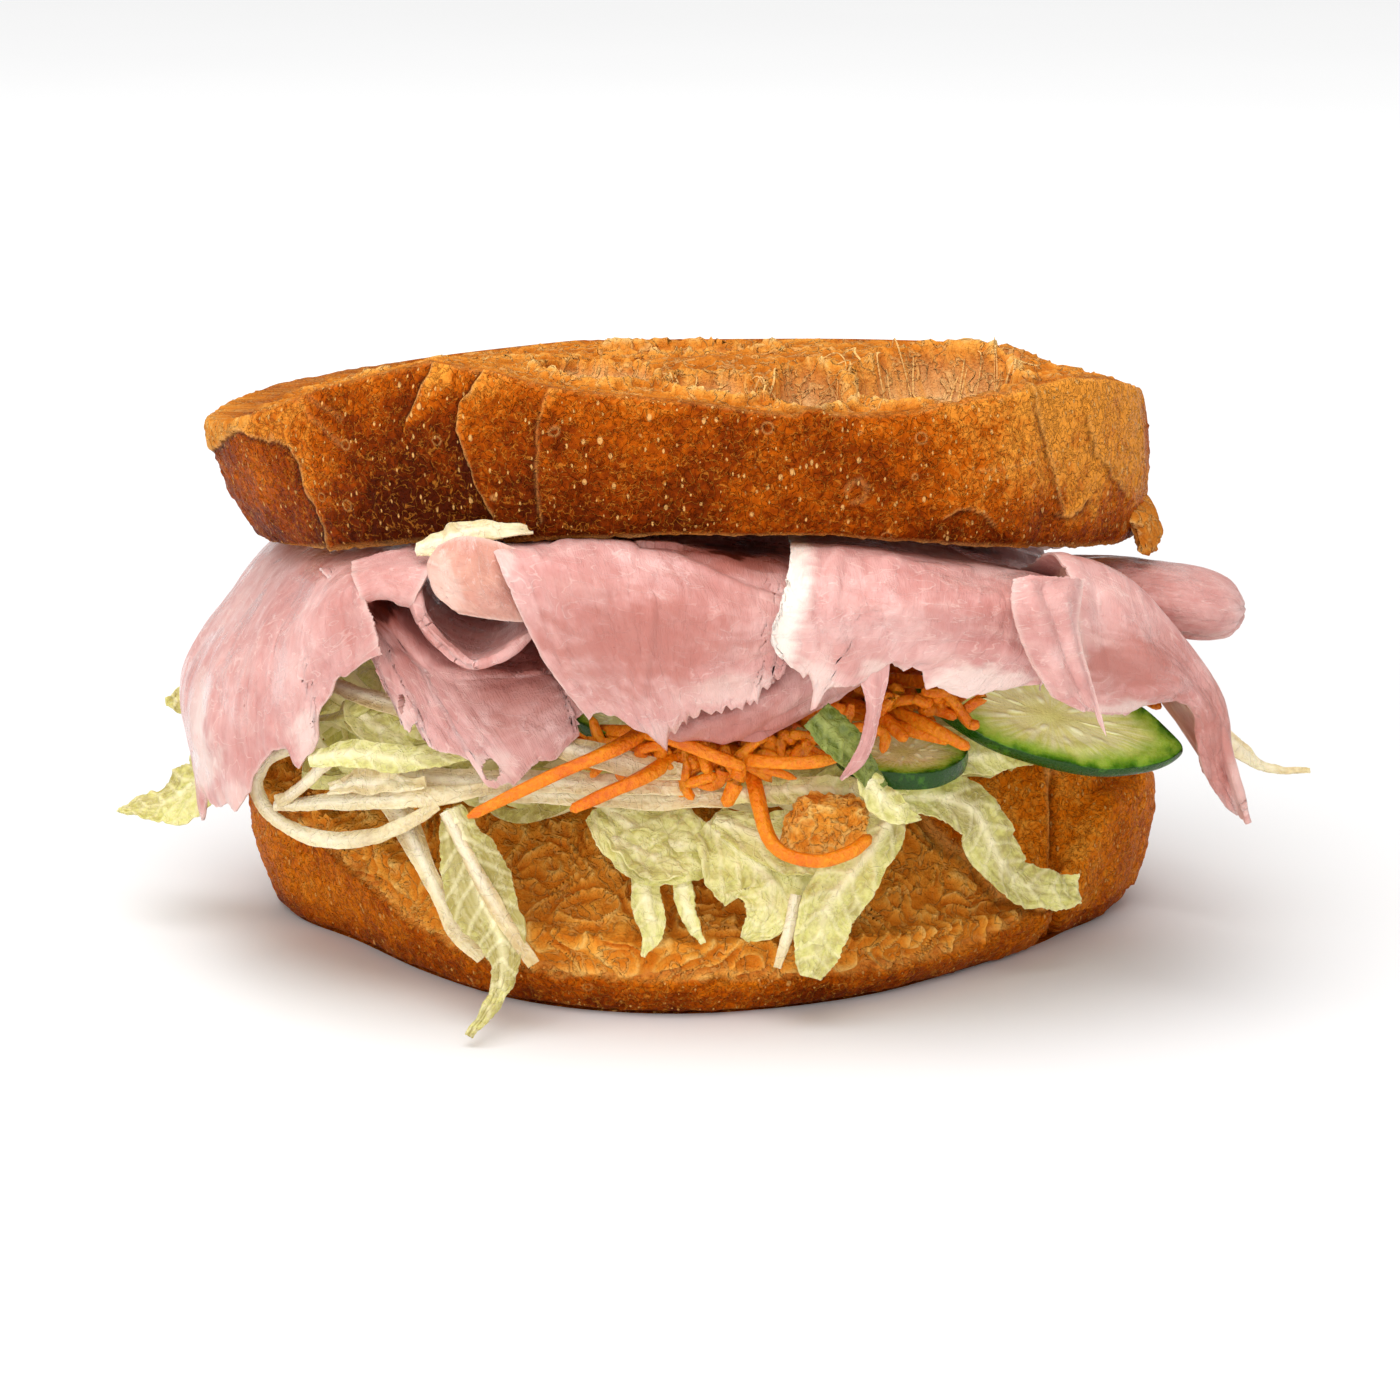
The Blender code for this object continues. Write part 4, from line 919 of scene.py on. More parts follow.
# Each slice: columns and rows, then rails from the inside or the back to the hanging hem. A hem, a hole
# and a crease are given as places in the front view's picture, across and down. A crease has its height
# and its width first, and a hole ends with its half width and half height.
hamSlices = {
    "ham_left": {
        "grid": (198, 162),
        "rails": (
            ((-44, 34, 56), (-42, 18, 57), (-40, 2, 58), (-38, -12, 59), (-33, -26, 60.5)),
            ((-58, 27, 56), (-60, 8, 57), (-56, -14, 58.5), (-48, -31, 61.5), (-37, -41, 64.5)),
            ((-67, 22, 48), (-69, 0, 49), (-63, -25, 50), (-55, -41, 55), (-44, -52, 62)),
            ((-73, 18, 38), (-75.5, -6, 38), (-67, -31, 38), (-57, -44, 46), (-43, -55, 57)),
            ((-72, 14, 30), (-73, -14, 26), (-66, -34, 22), (-56, -45, 35), (-42, -55, 52))),
        "hem": (
            (203, 787), (210, 800), (217, 809), (226, 804), (238, 813), (243, 799), (250, 793), (252, 778),
            (257, 770), (265, 758), (272, 753), (280, 749), (288, 750), (294, 762), (300, 768), (306, 757),
            (312, 753), (317, 740), (330, 737), (316, 724), (320, 710), (326, 702), (333, 693), (337, 681),
            (342, 675), (347, 677), (353, 672), (362, 664), (372, 658), (383, 654), (393, 650)),
        "creases": ((0.5, 1.6, ((255, 590), (235, 640), (222, 690), (218, 740))),
                    (-0.5, 1.8, ((300, 600), (280, 650), (262, 700), (250, 750))),
                    (0.55, 1.5, ((345, 580), (332, 610), (318, 650), (300, 690))),
                    (0.5, 0.9, ((370, 584), (366, 600), (372, 620), (380, 642)))),
    },
    "ham_left_arch": {
        "node": "ham_left", "grid": (44, 44), "tear": 0.3,
        "rails": (
            ((-47, -44, 63.2), (-41, -45, 64.4), (-35, -46, 65)),
            ((-46.5, -50, 62.4), (-41, -51.5, 63.4), (-35.5, -53, 64)),
            ((-45, -53.6, 60.6), (-41.5, -55.4, 61.8), (-37.6, -56.2, 60.4)),
            ((-44.4, -53, 59.6), (-41.5, -54.6, 60.6), (-38, -55.4, 59.2))),
    },
    "ham_inner": {
        "grid": (176, 176),
        "rails": (
            ((-48, 50, 40), (-28, 53, 42), (-9, 54, 41)),
            ((-53, 37, 48), (-30, 44, 50), (-9, 46, 50)),
            ((-56, 0, 47.5), (-30, 0, 48), (-9, 0, 48)),
            ((-52, -36, 60.5), (-45, -42, 59.5), (-33, -44, 50), (-20, -43, 49)),
            ((-46.4, -46.6, 54.6), (-39, -50, 50.5), (-32, -51, 47), (-17, -48, 48)),
            ((-41, -52, 44), (-36, -53.4, 41.5), (-29, -53.6, 38.4), (-23, -53.6, 38), (-15.5, -50.5, 44))),
        "hem": (
            (386, 686), (390, 699), (397, 703), (399, 722), (402, 743), (408, 738), (414, 727), (420, 722),
            (424, 738), (430, 748), (445, 754), (462, 757), (474, 762), (476, 776), (484, 786), (496, 789),
            (507, 782), (514, 786), (522, 778), (531, 769), (540, 762), (555, 761), (566, 748), (580, 735)),
        "holes": ((491, 770, 8, 9), (405, 704, 1.7, 9)),
        "creases": ((0.6, 1.2, ((400, 660), (404, 690), (412, 720))),
                    (-0.4, 1.2, ((432, 668), (428, 700), (424, 735))),
                    (0.4, 1.6, ((470, 670), (462, 700), (470, 740))),
                    (-0.4, 1.8, ((520, 650), (512, 690), (505, 740)))),
    },
    "ham_pocket": {
        "grid": (90, 70), "tear": 0.15,
        "rails": (
            ((-40, -12, 54.5), (-34, -12, 52.5), (-27, -12, 52.5), (-21, -12, 54.5)),
            ((-40, -34, 61), (-36, -36, 55), (-28, -36, 53), (-21, -35, 57)),
            ((-38.6, -52, 62.6), (-36.4, -55.4, 57.4), (-31, -57, 52.8), (-26.6, -57, 53.4),
             (-22, -56, 56.5)),
            ((-38.2, -52.6, 62.6), (-36.2, -56.4, 57), (-31, -58, 52.2), (-26.6, -58, 52.8), (-22, -57, 56))),
    },
    "ham_turned_end": {
        "grid": (56, 50), "finish": "hamBack", "tear": 0.25,
        "rails": (
            ((-22, -56.5, 66.5), (-21.4, -57.4, 63), (-20.6, -57.6, 60), (-19.6, -57.4, 57.6)),
            ((-27, -57, 68.5), (-26.3, -58.6, 64), (-24.8, -59, 61), (-23, -58.6, 58)),
            ((-31.3, -57.4, 69.1), (-31, -59.6, 65.2), (-29.4, -59.9, 61.6), (-27, -59.3, 58.4)),
            ((-34.3, -58, 68.2), (-35.8, -59.3, 65.8), (-34.8, -59.8, 62.4), (-31.6, -59.6, 59.2))),
    },
    "ham_center": {
        "grid": (210, 176),
        "rails": (
            ((-28, 51, 49), (-8, 54, 47), (13, 53, 49)),
            ((-28, 44, 58.5), (-8, 46, 60.5), (13, 45, 59)),
            ((-29, 0, 63), (-8, 0, 64), (14, 0, 63)),
            ((-30, -36, 63), (-12, -37, 64.3), (14, -37, 63.1)),
            ((-29.4, -50, 66.4), (-16, -53, 67.2), (-3, -53.5, 66.2), (13, -50.5, 63)),
            ((-26.4, -59, 66), (-14, -62, 64.4), (0, -61.6, 61), (14, -58.4, 58.4)),
            ((-20.6, -60.5, 54), (-11, -62.5, 54), (0, -62, 52.5), (14, -58.6, 55)),
            ((-15, -58.5, 45.5), (-9, -59.5, 44.5), (-3, -58.5, 41), (4, -60.5, 46.5), (13, -59, 52))),
        "hem": (
            (560, 690), (566, 698), (571, 706), (577, 714), (583, 717), (589, 720), (594, 712), (600, 712),
            (608, 717), (617, 717), (626, 722), (636, 728), (646, 733), (655, 741), (661, 746), (667, 752),
            (668, 742), (670, 732), (675, 736), (680, 728), (684, 721), (686, 727), (689, 716), (694, 720),
            (699, 716), (701, 707), (706, 710), (711, 713), (716, 709), (722, 713), (726, 704), (731, 709),
            (736, 706), (742, 710), (746, 701), (750, 705), (754, 699), (757, 704), (760, 692), (762, 686),
            (767, 690), (772, 683), (773, 675), (777, 680), (781, 678), (783, 668), (788, 664), (799, 660)),
        "creases": ((0.6, 1.0, ((560, 548), (600, 551), (640, 556), (674, 560), (705, 574), (740, 592),
                                (778, 604))),
                    (-0.7, 0.8, ((640, 551), (674, 554), (708, 567), (742, 585), (780, 597))),
                    (0.3, 0.7, ((652, 600), (648, 640), (640, 690))),
                    (0.25, 0.6, ((540, 590), (560, 640), (575, 690))),
                    (-0.35, 1.6, ((610, 600), (612, 650), (620, 700))),
                    (0.35, 1.8, ((720, 620), (712, 660), (706, 700)))),
    },
    "ham_center_fold": {
        "grid": (120, 150), "tear": 0.4,
        "rails": (
            ((-6, -22, 57.5), (8, -22, 58.5), (22, -22, 58)),
            ((-6, -46, 57), (8, -49, 59), (22, -48, 58)),
            ((-6, -54, 48), (8, -56, 49), (22, -54, 54)),
            ((-5, -53, 41.5), (8, -54.5, 41.8), (24, -51, 49.5)),
            ((-6, -42, 44.5), (9, -42, 45.7), (24, -40, 48.5)),
            ((-5, 0, 46), (11, 0, 46.5), (27, 0, 47)),
            ((-4, 49, 45), (11, 49, 46), (27, 45, 46))),
        "creases": ((0.6, 0.9, ((668, 742), (700, 722), (740, 712), (775, 690))),
                    (-0.7, 1.0, ((742, 748), (770, 722), (810, 700), (835, 690))),
                    (0.3, 0.6, ((690, 752), (720, 740), (745, 722)))),
    },
    "ham_right": {
        "grid": (210, 176), "stripe": 4.2,
        "rails": (
            ((15, 50, 48), (34, 44, 48), (50, 34, 47)),
            ((15, 42, 60.5), (34, 37, 58), (50, 26, 54)),
            ((12, 0, 65), (22, 0, 63.2), (35, 0, 61), (50, 0, 56.5)),
            ((12, -38, 65.2), (22, -37.5, 64.3), (34, -36, 62.2), (49, -30, 57.5)),
            ((11.9, -54.5, 66.8), (24, -54, 65.3), (38, -50, 62.6), (49, -43, 60)),
            ((10.8, -62.5, 62.5), (25, -63, 61.5), (38, -60, 60.5), (47, -54.5, 59)),
            ((9.3, -63.2, 56.5), (24, -63, 57), (38, -60, 55), (47, -55.5, 54)),
            ((10.5, -62.6, 52.5), (16, -62, 48.5), (25, -61, 51), (33, -59.5, 48), (45, -56, 47.4))),
        "hem": (
            (768, 632), (771, 640), (774, 650), (779, 655), (783, 659), (791, 668), (799, 672), (803, 679),
            (808, 674), (811, 682), (813, 691), (811, 702), (810, 712), (815, 704), (821, 696), (827, 689),
            (833, 686), (842, 685), (852, 684), (860, 682), (868, 676), (878, 668), (890, 663), (895, 668),
            (900, 670), (906, 675), (912, 668), (918, 670), (922, 672), (923, 682), (926, 691), (934, 687),
            (942, 690), (950, 694), (958, 697), (968, 699), (976, 694), (983, 696), (994, 691), (1005, 690),
            (1018, 687), (1028, 685), (1040, 684)),
        "creases": ((0.5, 1.0, ((836, 560), (830, 600), (838, 640), (850, 668))),
                    (0.35, 0.9, ((812, 560), (806, 610), (812, 650), (826, 672))),
                    (-0.4, 1.4, ((862, 590), (880, 620), (905, 648))),
                    (0.4, 1.3, ((890, 575), (930, 590), (975, 596), (1010, 606))),
                    (0.35, 0.8, ((900, 655), (950, 650), (1000, 648), (1035, 655))),
                    (-0.4, 1.2, ((920, 640), (970, 640), (1015, 640))),
                    (0.4, 0.7, ((870, 566), (920, 572), (965, 575)))),
    },
    "ham_right_flap": {
        "grid": (60, 90), "tear": 0.3,
        "rails": (
            ((40.8, -60.6, 64.4), (46, -58.6, 64.2), (51, -55, 63.4)),
            ((40.6, -62.6, 61), (45.5, -61, 61), (50.4, -57.5, 60.6)),
            ((42, -62.6, 56.4), (46, -61.2, 56.5), (49.8, -58.8, 56.4)),
            ((44.2, -62, 51.8), (48, -60.7, 51.6), (51.2, -59.2, 51.4)),
            ((46.4, -61, 48.2), (50.5, -59.3, 46.3), (54.3, -57.2, 41.3))),
        "hem": (
            (1040, 690), (1046, 693), (1053, 697), (1061, 701), (1070, 706), (1083, 712), (1088, 709),
            (1093, 709), (1098, 722), (1104, 732), (1110, 742)),
        "creases": ((0.5, 0.8, ((1028, 590), (1040, 620), (1052, 655), (1062, 690))),
                    (-0.5, 0.9, ((1042, 590), (1052, 620), (1064, 655), (1078, 690))),
                    (0.4, 0.6, ((1060, 600), (1068, 640), (1080, 680)))),
    },
    "ham_tail": {
        "grid": (150, 120), "tear": 1.1,
        "rails": (
            ((42, 8, 52), (49, 6, 51.5), (54, 4, 50), (58, 2, 48.5)),
            ((44, -31, 59.5), (52, -31, 57), (58, -31, 53), (64, -33, 47.5), (68.5, -36, 42),
             (71.8, -36, 34.5), (75, -34.6, 26.2)),
            ((47.6, -45, 64.4), (55, -42.5, 61.6), (60.5, -41, 57.4), (67, -40.5, 49.6), (71.2, -39.5, 43),
             (73.2, -37.2, 34.5), (75.5, -34.8, 25.6)),
            ((50, -52, 59), (57, -48.5, 55.5), (63, -45.5, 52), (68.5, -42.5, 46), (72, -40, 39.5),
             (73.2, -37.5, 33), (75.4, -35, 25.4)),
            ((51, -53.4, 50), (58.5, -49.5, 49.5), (64.5, -46, 47.5), (69, -42.5, 42.5), (70.8, -40, 37),
             (72.3, -37.5, 31), (75.3, -35, 25.2)),
            ((52, -51, 44), (58, -47.5, 42.7), (63.5, -44.5, 44), (67.4, -42, 42), (68.4, -40, 36),
             (70.6, -37.5, 30.6), (75.2, -35, 25))),
        "creases": ((0.6, 1.6, ((1110, 600), (1130, 640), (1160, 680))),
                    (-0.5, 1.6, ((1095, 620), (1105, 650), (1125, 690))),
                    (0.5, 1.0, ((1105, 700), (1140, 694), (1172, 684))),
                    (-0.4, 1.0, ((1150, 640), (1185, 670), (1210, 705)))),
    },
    "ham_top_slice": {
        "grid": (150, 110),
        "rails": (
            ((-40, -30, 63.8), (-15, -38, 66.8), (10, -39, 67.1), (35, -37, 64.8), (51, -31, 61.8)),
            ((-43, 0, 63.2), (-15, 0, 66.9), (10, 0, 67.1), (35, 0, 64.9), (56, 0, 60.4)),
            ((-42, 27, 63.2), (-15, 34, 66), (10, 35, 66.2), (35, 28, 64.3), (51, 22, 61)),
            ((-47, 44, 60), (-20, 51, 62.5), (10, 52, 62.8), (40, 45, 60), (57, 30, 57)),
            ((-49, 48, 53), (-20, 55.5, 57), (10, 57, 56), (40, 51, 53), (59, 34, 50))),
    },
}
hamRoll = {
    # x, y and z of the centre, half the depth, half the height.
    "sections": ((50, -14, 54, 8, 2.4), (58, -17, 54.2, 9, 3.0), (64, -19, 53.4, 9, 3.8),
                 (70, -19, 52.2, 8.5, 4.4), (74.5, -18.5, 51.2, 6, 3.7), (76.4, -18.5, 51, 2.4, 1.7),
                 (76.8, -18.5, 51, 0.2, 0.2)),
    "turn": (0.62, 1.56),
}
# Whitish fat: where it shows in the front view, across and down, half width, half height and strength.
hamFat = {
    "ham_right": ((978, 684, 62, 22, 0.62), (812, 680, 30, 26, 0.45), (880, 672, 26, 16, 0.45)),
    "ham_left": ((196, 700, 20, 60, 0.6), (205, 760, 22, 36, 0.5), (312, 736, 22, 28, 0.45),
                 (240, 800, 26, 22, 0.3)),
    "ham_center": ((745, 688, 60, 18, 0.3), (655, 735, 40, 16, 0.25), (500, 560, 16, 20, 0.35)),
    "ham_tail": ((1140, 706, 50, 9, 0.5), (1238, 790, 12, 40, 0.25)),
    "ham_inner": ((490, 770, 30, 22, 0.35), (400, 720, 16, 30, 0.3)),
    "ham_turned_end": ((440, 590, 26, 40, 0.3),),
}
# Deeper pink and painted shade, given the same way. Most spots paint shade in the gaps under the top slice,
# in holes, folds and the pocket and on the roll's underside; some give a deeper colour of the meat. A
# strength above 1 paints a dark shadow.
hamDeepAndShade = {
    "ham_center": ((640, 640, 120, 60, 0.8), (700, 600, 90, 30, 0.5), (600, 590, 60, 26, 0.3),
                   (750, 562, 60, 20, 1.0), (745, 554, 62, 12, 1.8)),
    "ham_center_fold": ((740, 730, 110, 40, 0.8),),
    "ham_inner": ((520, 680, 60, 60, 0.7), (405, 640, 16, 50, 0.4), (384, 604, 20, 30, 1.6)),
    "ham_pocket": ((470, 620, 60, 40, 0.75),),
    "ham_tail": ((1130, 665, 60, 34, 0.8), (1215, 740, 24, 70, 0.7)),
    "ham_right": ((1000, 556, 60, 9, 1.0), (985, 553, 50, 7, 1.6), (1010, 610, 40, 30, 0.35),
                  (900, 600, 80, 20, 0.2), (855, 655, 30, 20, 0.3)),
    "ham_left": ((340, 560, 70, 20, 0.3), (350, 620, 26, 40, 0.25)),
    "ham_roll": ((1120, 600, 60, 30, 0.5), (1150, 632, 80, 12, 0.6)),
    "ham_left_arch": ((395, 600, 40, 30, 0.3),),
    "ham_turned_end": ((500, 600, 40, 20, 0.4),),
}


def newGrid(name, across, along):
    # A grid, and how far across and along it each vertex lies, from 0 to 1.
    piece = addPrimitive(bpy.ops.mesh.primitive_grid_add, name, x_subdivisions=across,
                         y_subdivisions=along, size=1)
    flat = vertexPlaces(piece)
    return piece, flat[:, 0] + 0.5, flat[:, 1] + 0.5


def railSurface(rails, u, v):
    # Each rail is a curve across the sheet, and the sheet runs smoothly from rail to rail.
    columns = np.unique(np.round(u, 6))
    rails = np.stack([curveThrough(rail, columns) for rail in rails])
    column = np.searchsorted(columns, np.round(u, 6))
    spans = len(rails) - 1
    at = np.clip(v, 0, 1) * spans
    i = np.minimum(at.astype(int), spans - 1)
    f = (at - i)[:, None]
    ends = np.concatenate([[2 * rails[0] - rails[1]], rails, [2 * rails[-1] - rails[-2]]])
    a, b, c, d = (ends[i + k, column] for k in range(4))
    beyond = (np.maximum(v - 1, 0) * spans)[:, None] * (rails[-1] - rails[-2])[column]
    return beyond + smoothSpan(a, b, c, d, f)


def isAboveHem(points, hem):
    # Above the hem in the front view, or beside its ends: a line straight down crosses it an odd
    # number of times.
    across, up = frontView(points)
    crossings = np.zeros(len(points), int)
    for (x0, y0), (x1, y1) in zip(hem, hem[1:]):
        spans = (across >= min(x0, x1)) & (across < max(x0, x1))
        level = view["picture"] - (y0 + (y1 - y0) * (across - x0) / (x1 - x0 if x1 != x0 else 1.0))
        crossings += spans & (level < up)
    return (crossings % 2 == 1) | (across < hem[0][0]) | (across >= hem[-1][0])


def trimToHem(rails, u, hem):
    # For each column, how far along the sheet its torn hem lies, so that the front view shows the
    # hem line.
    columns = np.unique(np.round(u, 6))
    steps = np.linspace(0.5, 1.14, 65)
    sheet = railSurface(rails, np.repeat(columns, len(steps)), np.tile(steps, len(columns)))
    isCut = ~isAboveHem(sheet, hem).reshape(len(columns), -1)
    first = np.maximum(isCut.argmax(axis=1), 1)
    before, after = steps[first - 1], steps[first]
    for _ in range(6):
        middle = 0.5 * (before + after)
        kept = isAboveHem(railSurface(rails, columns, middle), hem)
        before, after = np.where(kept, middle, before), np.where(kept, after, middle)
    ends = np.where(isCut.any(axis=1), before, 1.0)
    return ends[np.searchsorted(columns, np.round(u, 6))]


def cutHoles(piece, gone):
    # Takes out every vertex that lies in a hole, with the faces round it.
    activate(piece)
    bpy.ops.object.mode_set(mode="EDIT")
    bpy.ops.mesh.select_mode(type="VERT")
    bpy.ops.mesh.select_all(action="DESELECT")
    bpy.ops.object.mode_set(mode="OBJECT")
    piece.data.vertices.foreach_set("select", gone)
    bpy.ops.object.mode_set(mode="EDIT")
    bpy.ops.mesh.delete(type="VERT")
    bpy.ops.object.mode_set(mode="OBJECT")


def thicken(piece, thickness, thin):
    # Gives a sheet its thickness, less where the weight is low, as along a torn edge.
    group = piece.vertex_groups.new(name="thin")
    for index, weight in enumerate(np.round(thin, 3).tolist()):
        group.add([index], weight, "REPLACE")
    solid = piece.modifiers.new("Thickness", "SOLIDIFY")
    solid.thickness = thickness * millimetre
    solid.offset = 0
    solid.vertex_group = "thin"
    solid.thickness_vertex_group = 0.2


def finishSheet(piece):
    applyModifiers(piece)
    piece.vertex_groups.clear()
    facesOutward(piece)


def tornEdge(t, seed, strength):
    # How far a torn edge is bitten away at each place along it, in millimetres.
    line = flatPlaces(t, 0 * t)
    bites = noise(line, 0.09, seed) + 0.7 * noise(line, 0.035, seed + 1)
    teeth = np.maximum(noise(line, 0.013, seed + 2), 0) * 1.1
    return strength * (0.6 * bites + 0.9 * teeth)


def makeHam(name, seed, sizes):
    piece, u, v = newGrid(name, *sizes["grid"])
    rails = sizes["rails"]
    length = 20.0 * (len(rails) - 1)
    width = np.linalg.norm(railSurface(rails, np.array([1.0]), np.array([0.8]))
                           - railSurface(rails, np.array([0.0]), np.array([0.8])))
    tear = sizes.get("tear", hamSheet["tear"])
    hem = trimToHem(rails, u, sizes["hem"]) if "hem" in sizes else 1.0
    hem = hem - (tornEdge(u, seed, hamSheet["hemTear"] if "hem" in sizes else tear) + 0.1) / length
    sideways = tornEdge(v, seed + 0.5, 0.5 * tear) / width
    around = np.where(u < 0.5, u + sideways * (1 - 2 * u), u - sideways * (2 * u - 1))
    sway = noise(flatPlaces(u, 0 * u), 0.3, seed + 20)
    start = (1.8 + 2.4 * sway + tornEdge(u, seed + 21, 1.6)) / length
    run = np.where(v < 0.5, v + start * (1 - 2 * v), 0.5 + (v - 0.5) * 2 * (hem - 0.5))
    points = railSurface(rails, np.clip(around, 0, 1), run)
    normals = gridNormals(piece, points)
    facing = np.where((normals[:, 1] > 0)[:, None], -normals, normals)  # towards the viewer
    fold = flatPlaces(around * width, run * length)
    free = np.maximum(softStep(0.3, 0.75, run), softStep(0.3, 0.05, run))
    across, up = frontView(points)
    down = view["picture"] - up
    isFront = softStep(-12, -26, points[:, 1])
    waves = sum(high * noise(fold, apart, seed + order)
                for order, (high, apart) in enumerate(hamSheet["waves"], 3))
    high, apart = hamSheet["ridges"]
    waves = waves + high * ridges(fold, apart, seed + 6)
    drape = np.zeros(len(points))
    for lift, wide, line in sizes.get("creases", ()):
        drape += lift * bell(seenBeside(points, line), 0, wide) * isFront
    edge = np.minimum(np.minimum(u, 1 - u) * width, (hem - run) * length)
    high, apart = hamSheet["curl"]
    curl = high * noise(fold, apart, seed + 7) * softStep(4.0, 0.0, edge)
    points = points + normals * ((waves * (0.35 + 0.65 * free) + curl)[:, None]) + facing * drape[:, None]
    placeVertices(piece, points)
    paintMap(piece, np.stack([around * width, run * length], axis=1))
    grain = 0.35 * noise(fold, 3.0, seed + 8) + 0.2 * noise(fold, 1.1, seed + 9)

    def paintSpots(spots, outer, inner):
        mask = np.zeros(len(points))
        for atX, atY, wide, high, strength in spots:
            gap = np.hypot((across - atX) / wide, (down - atY) / high) + grain
            mask = np.maximum(mask, strength * softStep(outer, inner, gap) * isFront)
        return mask

    fat = paintSpots(hamFat.get(name, ()), 1.15, 0.55)
    if "stripe" in sizes:
        stripe = around * width + 2.0 * grain
        fat = np.maximum(fat, softStep(sizes["stripe"], 0.35 * sizes["stripe"], stripe) * isFront)
    if name == "ham_top_slice":
        fat = 0.8 * softStep(0.12, 0.04, v + 0.03 * grain) * softStep(10, 30, points[:, 0])
    # The deep mask carries the deeper pink and the painted shade.
    paintMasks(piece, deep=paintSpots(hamDeepAndShade.get(name, ()), 1.3, 0.3),
               fat=np.maximum(fat, hamSheet["edgeFat"] * softStep(0.8, 0.0, edge)))
    thicken(piece, hamSheet["thickness"], softStep(-0.5, 2.4, edge))
    gone = np.zeros(len(points), bool)
    for atX, atY, wide, high in sizes.get("holes", ()):
        gone |= np.hypot((across - atX) / wide, (down - atY) / high) < 1 + 0.5 * grain
    if gone.any():
        cutHoles(piece, gone & (isFront > 0.5))
    finishSheet(piece)
    dress(piece, [sizes.get("node", name)], finishes[sizes.get("finish", "ham")])


def makeRoll():
    start, end = hamRoll["turn"]
    rails = []
    for turn in np.linspace(start, end, 15) * math.tau:
        rails.append([(x, y + deep * math.sin(turn), z + high * math.cos(turn))
                      for x, y, z, deep, high in hamRoll["sections"]])
    makeHam("ham_roll", 90, {"grid": (80, 140), "rails": rails, "tear": 0.2})


# Leaves, strips and grated shreds

